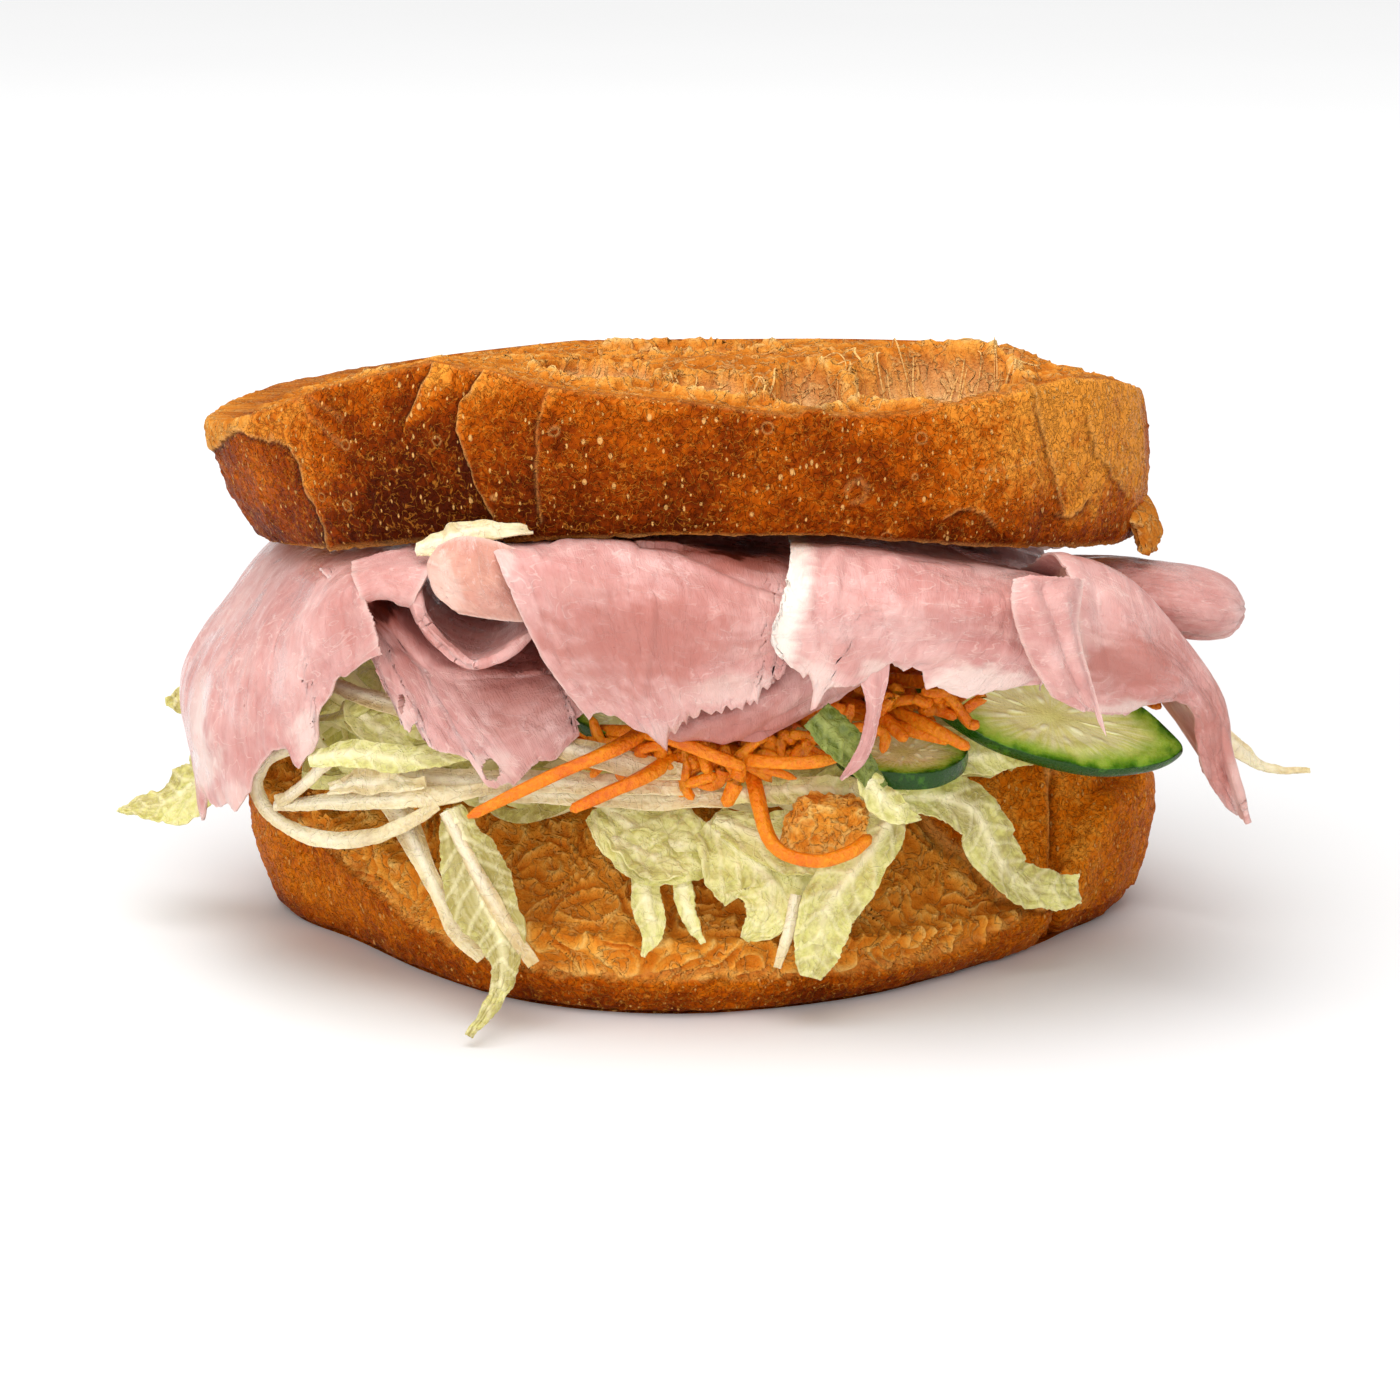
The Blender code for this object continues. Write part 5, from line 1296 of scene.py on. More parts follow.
leaves = {
    # Finish, facing, ruffle, and a path of x, y, z and width from the filling to the free end.
    "lettuce_left_leaf": ("leaf", (0, -0.5, 0.87), 1.1, (
        (-63, 3, 27.2, 7), (-69, 1, 24.5, 10), (-74.5, -1, 20.5, 12), (-80, 0, 17.2, 8), (-87, 1, 16, 1.6))),
    "lettuce_side_leaf": ("leaf", (0, -0.9, 0.4), 0.6, (
        (-63, 24, 30, 4), (-70, 22, 29.6, 5), (-77.5, 20, 28.6, 6), (-82, 19, 28, 2))),
    "lettuce_band": ("leaf", (0, -0.9, 0.45), 0.35, (
        (-53, -46.5, 36.2, 2.4), (-47, -49, 37.5, 4.4), (-39, -50.5, 37.2, 4.0), (-29, -50.5, 39, 2.6))),
    "lettuce_low_strip": ("rib", (0, -0.85, 0.5), 0.3, (
        (-59, -36.5, 27.0, 1.8), (-48, -45.5, 30, 2.6), (-38, -49.6, 31.6, 2.8), (-28, -50.6, 33.2, 1.6))),
    "lettuce_low_knobs": ("rib", (0, -0.85, 0.5), 1.6, (
        (-50, -46.5, 31.8, 1.6), (-46, -48.2, 33.4, 3.2), (-42, -49.2, 33.6, 3), (-37, -50, 33.4, 1.4)),
        "lettuce_low_strip"),
    "lettuce_loop": ("rib", (0.1, -0.9, 0.4), 0.2, (
        (-53, -42.5, 37.5, 2.6), (-59, -37.4, 34.4, 2.0), (-62, -34, 29.5, 2.2), (-59.5, -36.2, 25.2, 2.0),
        (-53, -41.4, 23.6, 2.4), (-45, -46.6, 25.2, 2.4), (-39.5, -49.6, 28.2, 2.2),
        (-35.5, -50.8, 31, 1.6))),
    "lettuce_loop_inner": ("rib", (0.1, -0.9, 0.4), 0.2, (
        (-50.5, -45, 36.2, 2.8), (-53, -43.4, 33, 1.8), (-56.5, -40, 29.4, 1.8), (-59, -37, 27.5, 2.2)),
        "lettuce_loop"),
    "lettuce_long_leaf": ("leaf", (-0.05, -0.93, 0.3), 0.8, (
        (-33.5, -50.8, 30.5, 3), (-31.5, -51.5, 24.5, 8.5), (-29.5, -53, 18.5, 10),
        (-26.8, -54.8, 13, 6.5), (-27, -57.5, 7, 3), (-31, -61.5, 1.6, 1.2))),
    "lettuce_long_edge": ("rib", (0.1, -0.93, 0.3), 0.3, (
        (-34.5, -50.8, 30, 1.6), (-31.4, -52.2, 24, 2), (-27.5, -54.2, 17.5, 2.2), (-22.5, -56.2, 10, 2)),
        "lettuce_long_leaf"),
    "lettuce_rib_strip": ("rib", (0, -0.85, 0.5), 0.35, (
        (-42, -45.2, 30, 4.4), (-39.6, -46.6, 25.5, 3.6), (-36, -49, 18.5, 2.6), (-33, -51.5, 13.5, 2.8),
        (-29.5, -54, 10.2, 1.8))),
    "lettuce_frill": ("leaf", (0.05, -0.8, 0.58), 1.25, (
        (-13.5, -43.6, 29.3, 6), (-9.5, -45.4, 26.2, 12), (-4.5, -46.6, 24.2, 14.5), (0.5, -47, 24, 9),
        (3.5, -47, 25, 4))),
    "lettuce_frill_crest": ("leaf", (0.1, -0.6, 0.8), 1.2, (
        (-13, -46.4, 25.4, 2), (-9.5, -48, 24.2, 6), (-5.5, -49, 22.6, 8), (-1.5, -49, 21.6, 3)),
        "lettuce_frill"),
    "lettuce_frill_tongue": ("leaf", (0.2, -0.95, 0.2), 0.5, (
        (-7.6, -47.6, 22.5, 3.2), (-7.4, -50.4, 17.6, 4.4), (-6.6, -52.2, 14, 4.0), (-7.6, -54, 10.4, 1)),
        "lettuce_frill"),
    "lettuce_frill_tip": ("leaf", (-0.2, -0.95, 0.2), 0.4, (
        (-2.6, -48.4, 21.5, 2.2), (-2, -50.6, 17.6, 2.8), (-0.8, -52, 14, 2), (0.4, -53, 12, 0.8)),
        "lettuce_frill"),
    "lettuce_frill_broad": ("leaf", (0.15, -0.85, 0.5), 1.2, (
        (1, -46, 27, 7), (5.5, -48, 23.6, 13), (9.5, -49.6, 19.8, 13), (9, -51.6, 15.4, 7),
        (6, -53, 12.6, 1.6)),
        "lettuce_frill"),
    "lettuce_frill_side": ("leaf", (0.1, -0.8, 0.6), 0.8, (
        (2, -46, 27.5, 3), (9, -47.5, 25.4, 8), (15, -48.6, 25, 9), (20, -48.4, 26.6, 4)), "lettuce_frill"),
    "lettuce_mid_leaf": ("leaf", (0, -0.9, 0.4), 0.6, (
        (26.6, -47, 30, 3.5), (24.8, -50.2, 27, 6), (21, -52, 22, 7.5), (17.4, -53.2, 17.4, 8.5),
        (16, -54.4, 12, 7), (15, -55.5, 8, 3))),
    "lettuce_tendril": ("rib", (0, -0.9, 0.4), 0.1, (
        (13, -51.5, 18.5, 1.6), (12, -52.8, 13.5, 1.6), (10.5, -54.5, 9, 1.2))),
    "lettuce_right_leaf": ("leaf", (0.15, -0.85, 0.5), 0.9, (
        (26, -42, 29.3, 4), (32, -40.4, 29.3, 7), (38, -38.5, 26.5, 8.5), (41, -37, 20.5, 7.5),
        (44.5, -35.4, 15.4, 6.5), (50, -33.4, 13.6, 6), (53.5, -31, 13.2, 4))),
    "lettuce_wisp": ("rib", (0, -0.6, 0.8), 0.25, (
        (67, 12, 32, 2), (73, 6, 30.5, 3), (79, 0, 26.5, 3.4), (84, 0, 22.8, 2), (91, 1, 22, 0.9))),
    "lettuce_dark_leaf": ("darkLeaf", (0.2, -0.9, 0.3), 0.7, (
        (15.4, -58.2, 45.4, 4.4), (18.6, -59, 42, 5.4), (21.4, -58.6, 38.6, 4.2), (24, -57.8, 34.8, 2.6))),
    "lettuce_dark_end": ("leaf", (0.2, -0.85, 0.4), 0.9, (
        (21.4, -58, 37.6, 3), (23.4, -57.8, 34.6, 4.6), (26, -57.2, 32, 4.6), (29.4, -56.4, 30.6, 1)),
        "lettuce_dark_leaf"),
    "lettuce_top_bits": ("rib", (0, -0.8, 0.6), 0.8, (
        (-37.5, -51.5, 66.2, 2), (-33.6, -53.2, 67.8, 3.8), (-29, -54.4, 69.2, 3.2),
        (-22, -54.4, 69.5, 1.2))),
    "lettuce_rib_mid": ("rib", (0, -0.8, 0.6), 0.3, (
        (-21, -51.4, 39.5, 2.4), (-15.5, -52.2, 38.6, 4), (-8.5, -52.6, 37, 3.6), (-2.5, -52.3, 35.8, 2.6))),
    # Ribbons of the bed that lie in front, between the crust and the carrot.
    "lettuce_bed_ribbon_a": ("rib", (0, -0.8, 0.6), 0.4, (
        (-46, -42, 33.6, 3), (-34, -47.4, 33.4, 3.4), (-22, -49.6, 33.8, 3.6), (-10, -50, 33.6, 3.2),
        (0, -49.4, 33, 2.4)),
        "lettuce_bed"),
    "lettuce_bed_ribbon_b": ("rib", (0, -0.8, 0.6), 0.4, (
        (-30, -47, 31.4, 2.4), (-20, -48.6, 31.8, 3), (-8, -49, 31.4, 3.4), (4, -48.4, 30.8, 2.2)),
        "lettuce_bed"),
    "lettuce_bed_ribbon_c": ("leaf", (0.2, -0.8, 0.6), 0.7, (
        (4, -48, 31.6, 3), (12, -47.4, 32, 4.4), (20, -45.4, 31.4, 4.4), (28, -41.4, 31, 3)), "lettuce_bed"),
    "lettuce_bed_shred_a": ("leaf", (0.2, -0.9, 0.4), 1.0, (
        (-47, -38, 43.4, 3), (-46, -42, 41, 6), (-42.5, -45, 39.4, 6), (-39, -46, 38.4, 3)), "lettuce_bed"),
    "lettuce_bed_shred_b": ("leaf", (-0.2, -0.8, 0.5), 0.9, (
        (-43, -38, 44.6, 2.6), (-40, -43, 42.4, 5.4), (-37, -45.4, 40.6, 5), (-33.6, -46, 39, 2)),
        "lettuce_bed"),
    "lettuce_bed_rib_a": ("rib", (0.1, -0.7, 0.7), 0.2, (
        (-53.5, -34, 44.2, 2.4), (-47, -41, 44, 3), (-41, -44.6, 43, 2.8), (-35, -46.4, 40.4, 2.2)),
        "lettuce_bed"),
    "lettuce_bed_curl": ("leaf", (0.2, -0.8, 0.5), 0.9, (
        (30, -37, 31, 3), (36, -35.4, 33.2, 5), (43, -32, 33.4, 5.4), (50, -26, 32, 3)), "lettuce_bed"),
}
hamStrip = ("ham", (0, -1, 0.1), 0.15, (
    (22.3, -62, 53.4, 5.4), (22.8, -62.4, 48.6, 2.8), (22.2, -62, 43.6, 1.8), (20.8, -61.5, 39.8, 1.9),
    (18.6, -61, 37.2, 0.5)), "ham_strip")
# How much darker some of them are.
leafShade = {
    "lettuce_long_leaf": 1.4, "lettuce_left_leaf": 0.3, "lettuce_long_edge": 0.8,
    "lettuce_rib_strip": 0.7, "lettuce_right_leaf": 0.4, "lettuce_mid_leaf": 0.3,
    "lettuce_rib_mid": 0.5, "lettuce_bed_rib_a": 0.6}
leafSizes = {
    "thickness": 0.6, "columns": 5, "rows": 4.5,  # columns and rows for each millimetre
    "veinGap": 3.1, "veinWide": 0.3, "midribWide": 0.6,
}


def makeLeaf(name, seed, finish, facing, ruffle, path, node=None):
    length = sum(math.dist(a[:3], b[:3]) for a, b in zip(path, path[1:]))
    widest = max(stop[3] for stop in path)
    piece, u, v = newGrid(name, max(14, int(widest * leafSizes["columns"])),
                          max(40, int(length * leafSizes["rows"])))
    along = curveThrough(path, v)
    tangent = unitRows(curveThrough(path, np.minimum(v + 0.01, 1))[:, :3]
                       - curveThrough(path, np.maximum(v - 0.01, 0))[:, :3])
    across = unitRows(np.cross(tangent, np.array(facing, float)))
    up = np.cross(across, tangent)
    flat = flatPlaces((u - 0.5) * widest, v * length)
    isTorn = finish in ("leaf", "darkLeaf")
    rims = flatPlaces(9.0 * np.round(u), v * length)
    bite = 0.6 * np.maximum(noise(rims, 2.6, seed), 0) + 0.4 * np.abs(noise(rims, 0.9, seed + 1))
    biteDeep = (1.2 + 0.9 * ruffle) if isTorn else 0.7
    wide = along[:, 3] * (1 + 0.2 * noise(rims, 6.0, seed + 5)) - biteDeep * bite
    side = (u - 0.5) * np.maximum(wide, 0.25 * along[:, 3])
    rim = np.abs(2 * u - 1) ** 2
    gather = noise(flat, (10, 3.4, 10), seed + 2) * (0.4 + 1.2 * rim) + 0.35 * (rim - 0.3)
    crinkle = 0.5 * noise(flat, 2.4, seed + 6) + 0.25 * noise(flat, 1.2, seed + 7)
    slant = v * length - 0.9 * np.abs(side)
    veinGap = leafSizes["veinGap"]
    fromVein = ((slant / veinGap + 0.3 * noise(flat, 4, seed + 8)) % 1 - 0.5) * veinGap
    branch = bell(fromVein, 0, leafSizes["veinWide"]) * isTorn
    midrib = bell(side, 0, leafSizes["midribWide"]) * softStep(1.0, 0.4, v)
    frill = 0.5 * rim * noise(rims, 1.8, seed + 9) * isTorn
    lift = ruffle * (gather + crinkle + frill) + 0.2 * branch + 0.35 * midrib
    points = along[:, :3] + across * side[:, None] + up * lift[:, None]
    placeVertices(piece, points)
    paintMap(piece, np.stack([u * widest, v * length], axis=1))
    paintMasks(piece, ribShare=np.clip(0.8 * midrib + 0.4 * branch, 0, 1),
               tone=0.5 + 0.6 * noise(flat, 7, seed + 4) - leafShade.get(name, 0))
    edge = np.minimum(0.5 - np.abs(u - 0.5), 1 - v)
    thicken(piece, leafSizes["thickness"], softStep(-0.1, 0.2, edge))
    finishSheet(piece)
    dress(piece, [node or name], finishes[finish])


def sweep(path, width, thickness, facing, rings, sides, squareness, ruffle=0.0, seed=0.0, taper=0.35):
    # One strip or shred: rings of a rounded section along a smooth path.
    t = np.linspace(0, 1, rings)
    centre = curveThrough(path, t)
    tangent = unitRows(np.gradient(centre, axis=0))
    across = unitRows(np.cross(tangent, np.asarray(facing, float)))
    up = np.cross(across, tangent)
    angle = (np.arange(sides) + 0.5) / sides * math.tau
    sectionX = np.sign(np.cos(angle)) * np.abs(np.cos(angle)) ** squareness
    sectionY = np.sign(np.sin(angle)) * np.abs(np.sin(angle)) ** squareness
    ends = 1 - taper * softStep(0.75, 1.0, t) - 0.5 * softStep(0.97, 1.0, t) - 0.5 * softStep(0.03, 0.0, t)
    lumps = 1 + 0.16 * noise(centre, 2.2, seed)
    half = 0.5 * width * ends * lumps
    points = (centre[:, None] + across[:, None] * (half[:, None] * sectionX)[..., None]
              + up[:, None] * (0.5 * thickness * ends[:, None] * sectionY)[..., None])
    if ruffle:
        wave = noise(points.reshape(-1, 3), 3.5, seed).reshape(rings, sides)
        points = points + up[:, None] * (ruffle * wave * np.abs(sectionX))[..., None]
    return points


def joinSweeps(name, strands, tones):
    # Many strands in one mesh, each closed at both ends.
    vertices, faces, shades, maps = [], [], [], []
    start = 0
    for points, shade in zip(strands, tones):
        rings, sides, _ = points.shape
        vertices.append(points.reshape(-1, 3))
        index = start + np.arange(rings * sides).reshape(rings, sides)
        onward = np.roll(index, -1, axis=1)
        quads = np.stack([index[:-1], onward[:-1], onward[1:], index[1:]], axis=-1).reshape(-1, 4)
        faces.extend(quads.tolist())
        faces.append(index[0][::-1].tolist())
        faces.append(index[-1].tolist())
        shades.append(np.full(rings * sides, shade))
        step = np.linalg.norm(np.diff(points[:, 0], axis=0), axis=1)
        run = np.concatenate([[0], np.cumsum(step)])
        middle = points[rings // 2]
        girth = np.linspace(0, 1, sides) * np.linalg.norm(middle[0] - middle[sides // 2]) * 2
        maps.append(np.stack(np.broadcast_arrays(girth[None, :], run[:, None]), axis=-1).reshape(-1, 2))
        start += rings * sides
    mesh = bpy.data.meshes.new(name)
    mesh.from_pydata((np.concatenate(vertices) * millimetre).tolist(), [], faces)
    mesh.update()
    piece = bpy.data.objects.new(name, mesh)
    bpy.context.scene.collection.objects.link(piece)
    paintMasks(piece, tone=np.concatenate(shades))
    mesh.uv_layers.new(name="UVMap")
    paintMap(piece, np.concatenate(maps))
    return piece


bedOutline = ((56, 6), (49, -6), (36, -16), (24, -25), (10, -31), (-8, -32), (-26, -31), (-42, -25),
              (-52, -9), (-57, 8), (-54, 22), (-42, 34), (-20, 43), (0, 44), (20, 43), (44, 36), (56, 22))
carrotOutline = ((51, 4), (44, -9), (33, -18), (24, -30), (12, -37), (-2, -39), (-16, -34), (-28, -22),
                 (-32.5, -4), (-31.5, 18), (-20, 36), (0, 42), (22, 40), (42, 31), (50, 18))
heapCore = {"segments": 160, "rings": (16, 20, 8)}
heapLevels = {"bed": (26.3, 31.8), "carrot": (33.9, 42.2)}  # where each heap's floor and top lie
# Strands laid round each heap: how many, their length, width and thickness, and how far they tuck in.
bedShreds = {
    "count": 260, "seed": 5, "length": (16, 46), "width": (1.4, 3.4), "thickness": 0.5, "tuck": 0.02}
carrotShreds = {
    "count": 330, "seed": 8, "length": (8, 26), "width": (1.3, 2.2), "thickness": 1.5, "tuck": 0.03}
# The sections of these, of the longer ones below, and of the short ones along the front.
bedLoose = {"rings": 18, "sides": 8, "squareness": 0.7, "ruffle": 1.0}
bedShown = {
    "thickness": 0.7, "facing": (0.1, -0.6, 0.8), "rings": 26, "sides": 10, "squareness": 0.7, "ruffle": 0.5}
carrotLoose = {"rings": 14, "sides": 8, "squareness": 0.55}
carrotShown = {
    "width": 2.0, "thickness": 1.8, "facing": (0.3, 0.2, 1), "rings": 30, "sides": 8, "squareness": 0.45,
    "taper": 0.2}
carrotShort = {
    "thickness": 1.4, "facing": (0.2, 0.3, 1), "rings": 18, "sides": 8, "squareness": 0.5, "taper": 0.3}
# Longer shreds that show, each a path from the heap's inside out. A lettuce strip's stops end with a width.
bedStrips = (
    ((-48, -8, 37, 2.4), (-49, -32, 39, 2.6), (-44, -41.5, 37.6, 2.4), (-36, -44, 38.6, 1.6)),
    ((-51, -2, 36, 2.4), (-55, -29, 37.6, 2.4), (-49, -40.5, 41, 2.2), (-44, -43, 44, 1.6)),
    ((-42, -14, 31, 2.4), (-43, -35, 34.6, 2.4), (-38, -43, 33.4, 2.2), (-30, -46, 33.2, 1.6)),
    ((-30, -24, 30, 2.4), (-28, -36, 31, 2.8), (-18, -43, 32, 2.6), (-8, -46, 31.6, 1.8)),
    ((-20, -24, 30, 2.4), (-14, -35, 30.4, 2.8), (-4, -40, 30.6, 2.6), (7, -42, 29.6, 1.8)),
    ((12, -24, 30, 2.6), (22, -31, 30.2, 2.8), (33, -30, 30.4, 2.4), (42, -26, 28.8, 1.8)),
    ((38, -10, 29.5, 2.6), (50, -15, 28.4, 2.8), (59, -15, 28.4, 2.2), (65, -9, 27.8, 1.6)),
    ((40, 24, 30, 2.6), (52, 34, 29, 2.8), (58, 38, 26, 2.4), (60, 40, 20, 1.6)),
    ((10, 34, 30, 2.6), (16, 47, 30, 3), (22, 54, 27, 2.8), (24, 57, 19, 1.8)),
    ((-14, 34, 30, 2.6), (-18, 48, 30.5, 3), (-14, 55, 26, 2.6), (-10, 57.5, 18, 1.6)),
    ((-40, 24, 30, 2.6), (-46, 38, 31, 3), (-52, 47, 28, 2.6), (-54, 50, 20, 1.6)),
)
carrotPaths = (
    ((-4, -40, 42), (-10, -54.5, 40.5), (-20, -57, 36.5), (-31, -58, 31.2)),
    ((-2, -48, 38), (-7, -54, 36), (-12, -55.4, 34), (-17.4, -56, 31.6)),
    ((-14, -46, 40), (-6, -52, 41), (2, -54, 38.6), (6, -54, 37)),
    ((0, -48, 37), (8, -53, 37.6), (14, -54.6, 37.8), (19, -54, 38.6)),
    ((-8, -32, 38), (-6, -46, 36.2), (0, -50.5, 36.4)),
    ((-2, -34, 37), (0, -47, 36.6), (6, -49.5, 37.6), (8, -49.8, 35)),
    ((3, -34, 38), (4, -47, 38.4), (5.2, -53.5, 36.4), (3.4, -54.2, 31.6)),
    ((5, -34, 36), (7, -48, 34.6), (9.6, -54, 26.6), (15, -56.2, 24.6), (20, -55.6, 25.6), (23, -54.4, 27.6)),
    ((8, -33, 39), (12, -46, 38), (17, -49.6, 36.4)),
    ((10, -32, 41), (15, -44, 40.6), (21, -48, 38.2)),
    ((16, -31, 42), (24, -42, 41.4), (28, -46.8, 39)),
    ((22, -27, 41), (28, -38, 42.6), (35, -43.6, 41.4)),
    ((23, -25, 42.4), (30, -38, 45), (37.5, -43.6, 45.6)),
    ((18, -30, 40), (26, -40.5, 39.6), (34, -45.4, 38.4)),
    ((20, -27, 40.6), (29, -42, 40.8), (36.5, -47.6, 38)),
    ((13, -32, 40), (17, -45, 43), (19, -49.6, 44)),
    ((25, -24, 42), (33, -30.4, 46.8), (40, -37.4, 48.4)),
    ((45, -3, 42), (58, -20, 42.6), (62.5, -30.6, 41)),
    ((48, 2, 40), (58, -12, 40), (65.5, -22, 37.4)),
    ((48, 12, 38), (58, 10, 37), (64, 6, 34)),
    ((-20, -26, 40), (-30, -30.5, 41), (-36, -36, 42)),
    ((-30, -4, 40), (-40, 6, 44.6), (-45, 14, 45)),
    ((-24, 28, 38), (-30, 42, 36), (-33, 50, 31)),
    ((-6, 38, 39), (-3, 50, 36.4), (-6, 57, 29)),
    ((14, 37, 38), (18, 48, 39), (26, 54.6, 38)),
    ((26, 35, 40), (33, 45, 38), (37, 51, 32)),
    ((42, 26, 40), (50, 34, 38), (54, 39, 32)),
)
# Where short shreds lie thickest along the front: centre, half size and how many.
carrotClumps = (((-4, -50, 37), (10, 1.4, 2), 30), ((8, -49, 37.6), (6, 1.6, 2.2), 18),
                ((17, -46, 40), (4, 1.6, 2.6), 12), ((31, -42.6, 43), (7, 1.6, 2), 16))


def heapFloorAndTop(kind, x, y):
    floor, top = heapLevels[kind]
    flat = flatPlaces(x, y)
    if kind == "bed":
        left = softStep(-40, -48, x) * softStep(30, 8, y)
        return np.full_like(x, floor), top + 8.0 * left + 0.9 * noise(flat, 5, 60)
    lift = 4.7 * softStep(5, 13, x) * softStep(-10, -18, y)
    right = 3.6 * softStep(30, 42, x) * softStep(-14, -4, y)
    return floor + lift, top + right + 0.9 * noise(flat, 5, 61)


def makeHeapCore(kind, outline):
    sizes = dict(heapCore, outline=[(x * 0.97, y * 0.97) for x, y in outline])
    piece, points, zone, *_ = ringedSlice(
        kind + "_core", sizes, lambda x, y: heapFloorAndTop(kind, x, y)[1],
        lambda x, y: heapFloorAndTop(kind, x, y)[0], lambda x, y, share: 0.6 * np.sin(np.pi * share), 0.8)
    normals = gridNormals(piece, points)
    relief = 0.8 * ridges(points, (5, 5, 2.2), 62) + 0.5 * noise(points, 3.0, 63)
    placeVertices(piece, points + normals * (relief * (zone < 2))[:, None])
    paintMasks(piece, tone=0.2 + 0.3 * relief, ribShare=0)
    return piece


def joinHeap(core, shreds, name):
    activate(core)
    shreds.select_set(True)
    bpy.ops.object.join()
    core.name = core.data.name = name
    return core


def scatterStrands(kind, outline, count, seed, length, width, thickness, tuck):
    # Strands laid round the heap at random, mostly along its edge, with loose ends that droop.
    chance = np.random.default_rng(seed)
    strands = []
    for _ in range(count):
        turn = chance.random()
        stretch = chance.uniform(*length) / 300
        lean = chance.uniform(-1, 1)
        stops = []
        for k, part in enumerate((-0.5, -0.15, 0.2, 0.5)):
            at = curveThrough(outline, [(turn + stretch * part * (1 - 0.5 * abs(lean))) % 1], closed=True)[0]
            spread = 0.16 * abs(lean) * (k / 3) if lean > 0 else 0.1 * (1.5 - abs(k - 1.5)) / 1.5
            out = 1 - tuck + 0.07 * chance.normal() + spread
            low, high = heapFloorAndTop(kind, np.array([at[0]]), np.array([at[1]]))
            level = low[0] + 0.9 + (high[0] - low[0]) * min(max(0.5 + 0.34 * chance.normal(), 0.0), 1.0)
            droop = 2.5 * abs(lean) * (k / 3) ** 2
            stops.append((at[0] * out, at[1] * out, level - droop))
        facing = np.array([stops[1][0], stops[1][1], 25 * chance.uniform(-0.4, 1.0)])
        strands.append((stops, chance.uniform(*width), thickness, unitRows(facing), chance.random()))
    return strands


def makeLettuceBed():
    strands, tones = [], []
    for order, path in enumerate(bedStrips):
        middle = [stop[:3] for stop in path]
        strands.append(sweep(middle, max(stop[3] for stop in path), seed=order, **bedShown))
        tones.append(0.35 + 0.12 * (order % 5))
    for path, width, thickness, facing, shade in scatterStrands("bed", bedOutline, **bedShreds):
        strands.append(sweep(path, width, thickness, facing, seed=3 + shade * 40, **bedLoose))
        tones.append(shade)
    strips = joinSweeps("bed_strips", strands, tones)
    shades = np.array([spot.value for spot in strips.data.attributes["tone"].data])
    paintMasks(strips, ribShare=0.7 * softStep(0.55, 0.9, shades))
    piece = joinHeap(makeHeapCore("bed", bedOutline), strips, "lettuce_bed_strips")
    dress(piece, ["lettuce_bed"], finishes["leaf"])


def makeCarrotHeap():
    strands, tones = [], []
    for order, path in enumerate(carrotPaths):
        strands.append(sweep(path, seed=order, **carrotShown))
        tones.append(0.4 + 0.13 * (order % 5))
    for path, width, thickness, facing, shade in scatterStrands("carrot", carrotOutline, **carrotShreds):
        strands.append(sweep(path, width, thickness, facing, seed=shade * 9, **carrotLoose))
        tones.append(shade)
    chance = np.random.default_rng(23)
    for middle, spread, count in carrotClumps:
        for _ in range(count):
            start = np.array(middle) + np.array(spread) * chance.uniform(-1, 1, 3)
            bend = chance.normal(0, 1, (4, 3)) * (1.1, 0.5, 0.9)
            run = chance.uniform(-1, 1, 3) * (7, 1.6, 3)
            path = start + np.linspace(0, 1, 4)[:, None] * run + bend
            strands.append(sweep(path, chance.uniform(1.3, 2.0), seed=1 + start[0], **carrotShort))
            tones.append(chance.uniform(0.3, 1))
    shreds = joinSweeps("carrot_shreds", strands, tones)
    piece = joinHeap(makeHeapCore("carrot", carrotOutline), shreds, "grated_carrot_heap")
    dress(piece, ["carrot_heap"], finishes["carrot"])


# Cucumber

cucumberSlices = {
    # Centre, half length, half width, thickness, long axis and facing.
    "cucumber_right": ((48.6, -33, 38.6), 19.5, 7.4, 2.4, (0.92, 0.15, -0.37), (0.22, -0.72, 0.66)),
    "cucumber_front": ((28, -38, 34.2), 9.2, 7.6, 2.6, (1, 0.1, 0), (0.05, -0.2, 0.98)),
    "cucumber_left": ((-10.5, -44.4, 40.9), 6.5, 4.2, 1.8, (1, 0, 0), (0, -0.35, 0.94)),
}
cucumberForm = {
    "bulge": 0.02, "pinch": 0.42,  # both ends narrow, as of a slanted cut
    "seedRings": ((0.3, 7), (0.48, 11)), "seedHalf": (0.085, 0.035),  # in parts of the radius
}


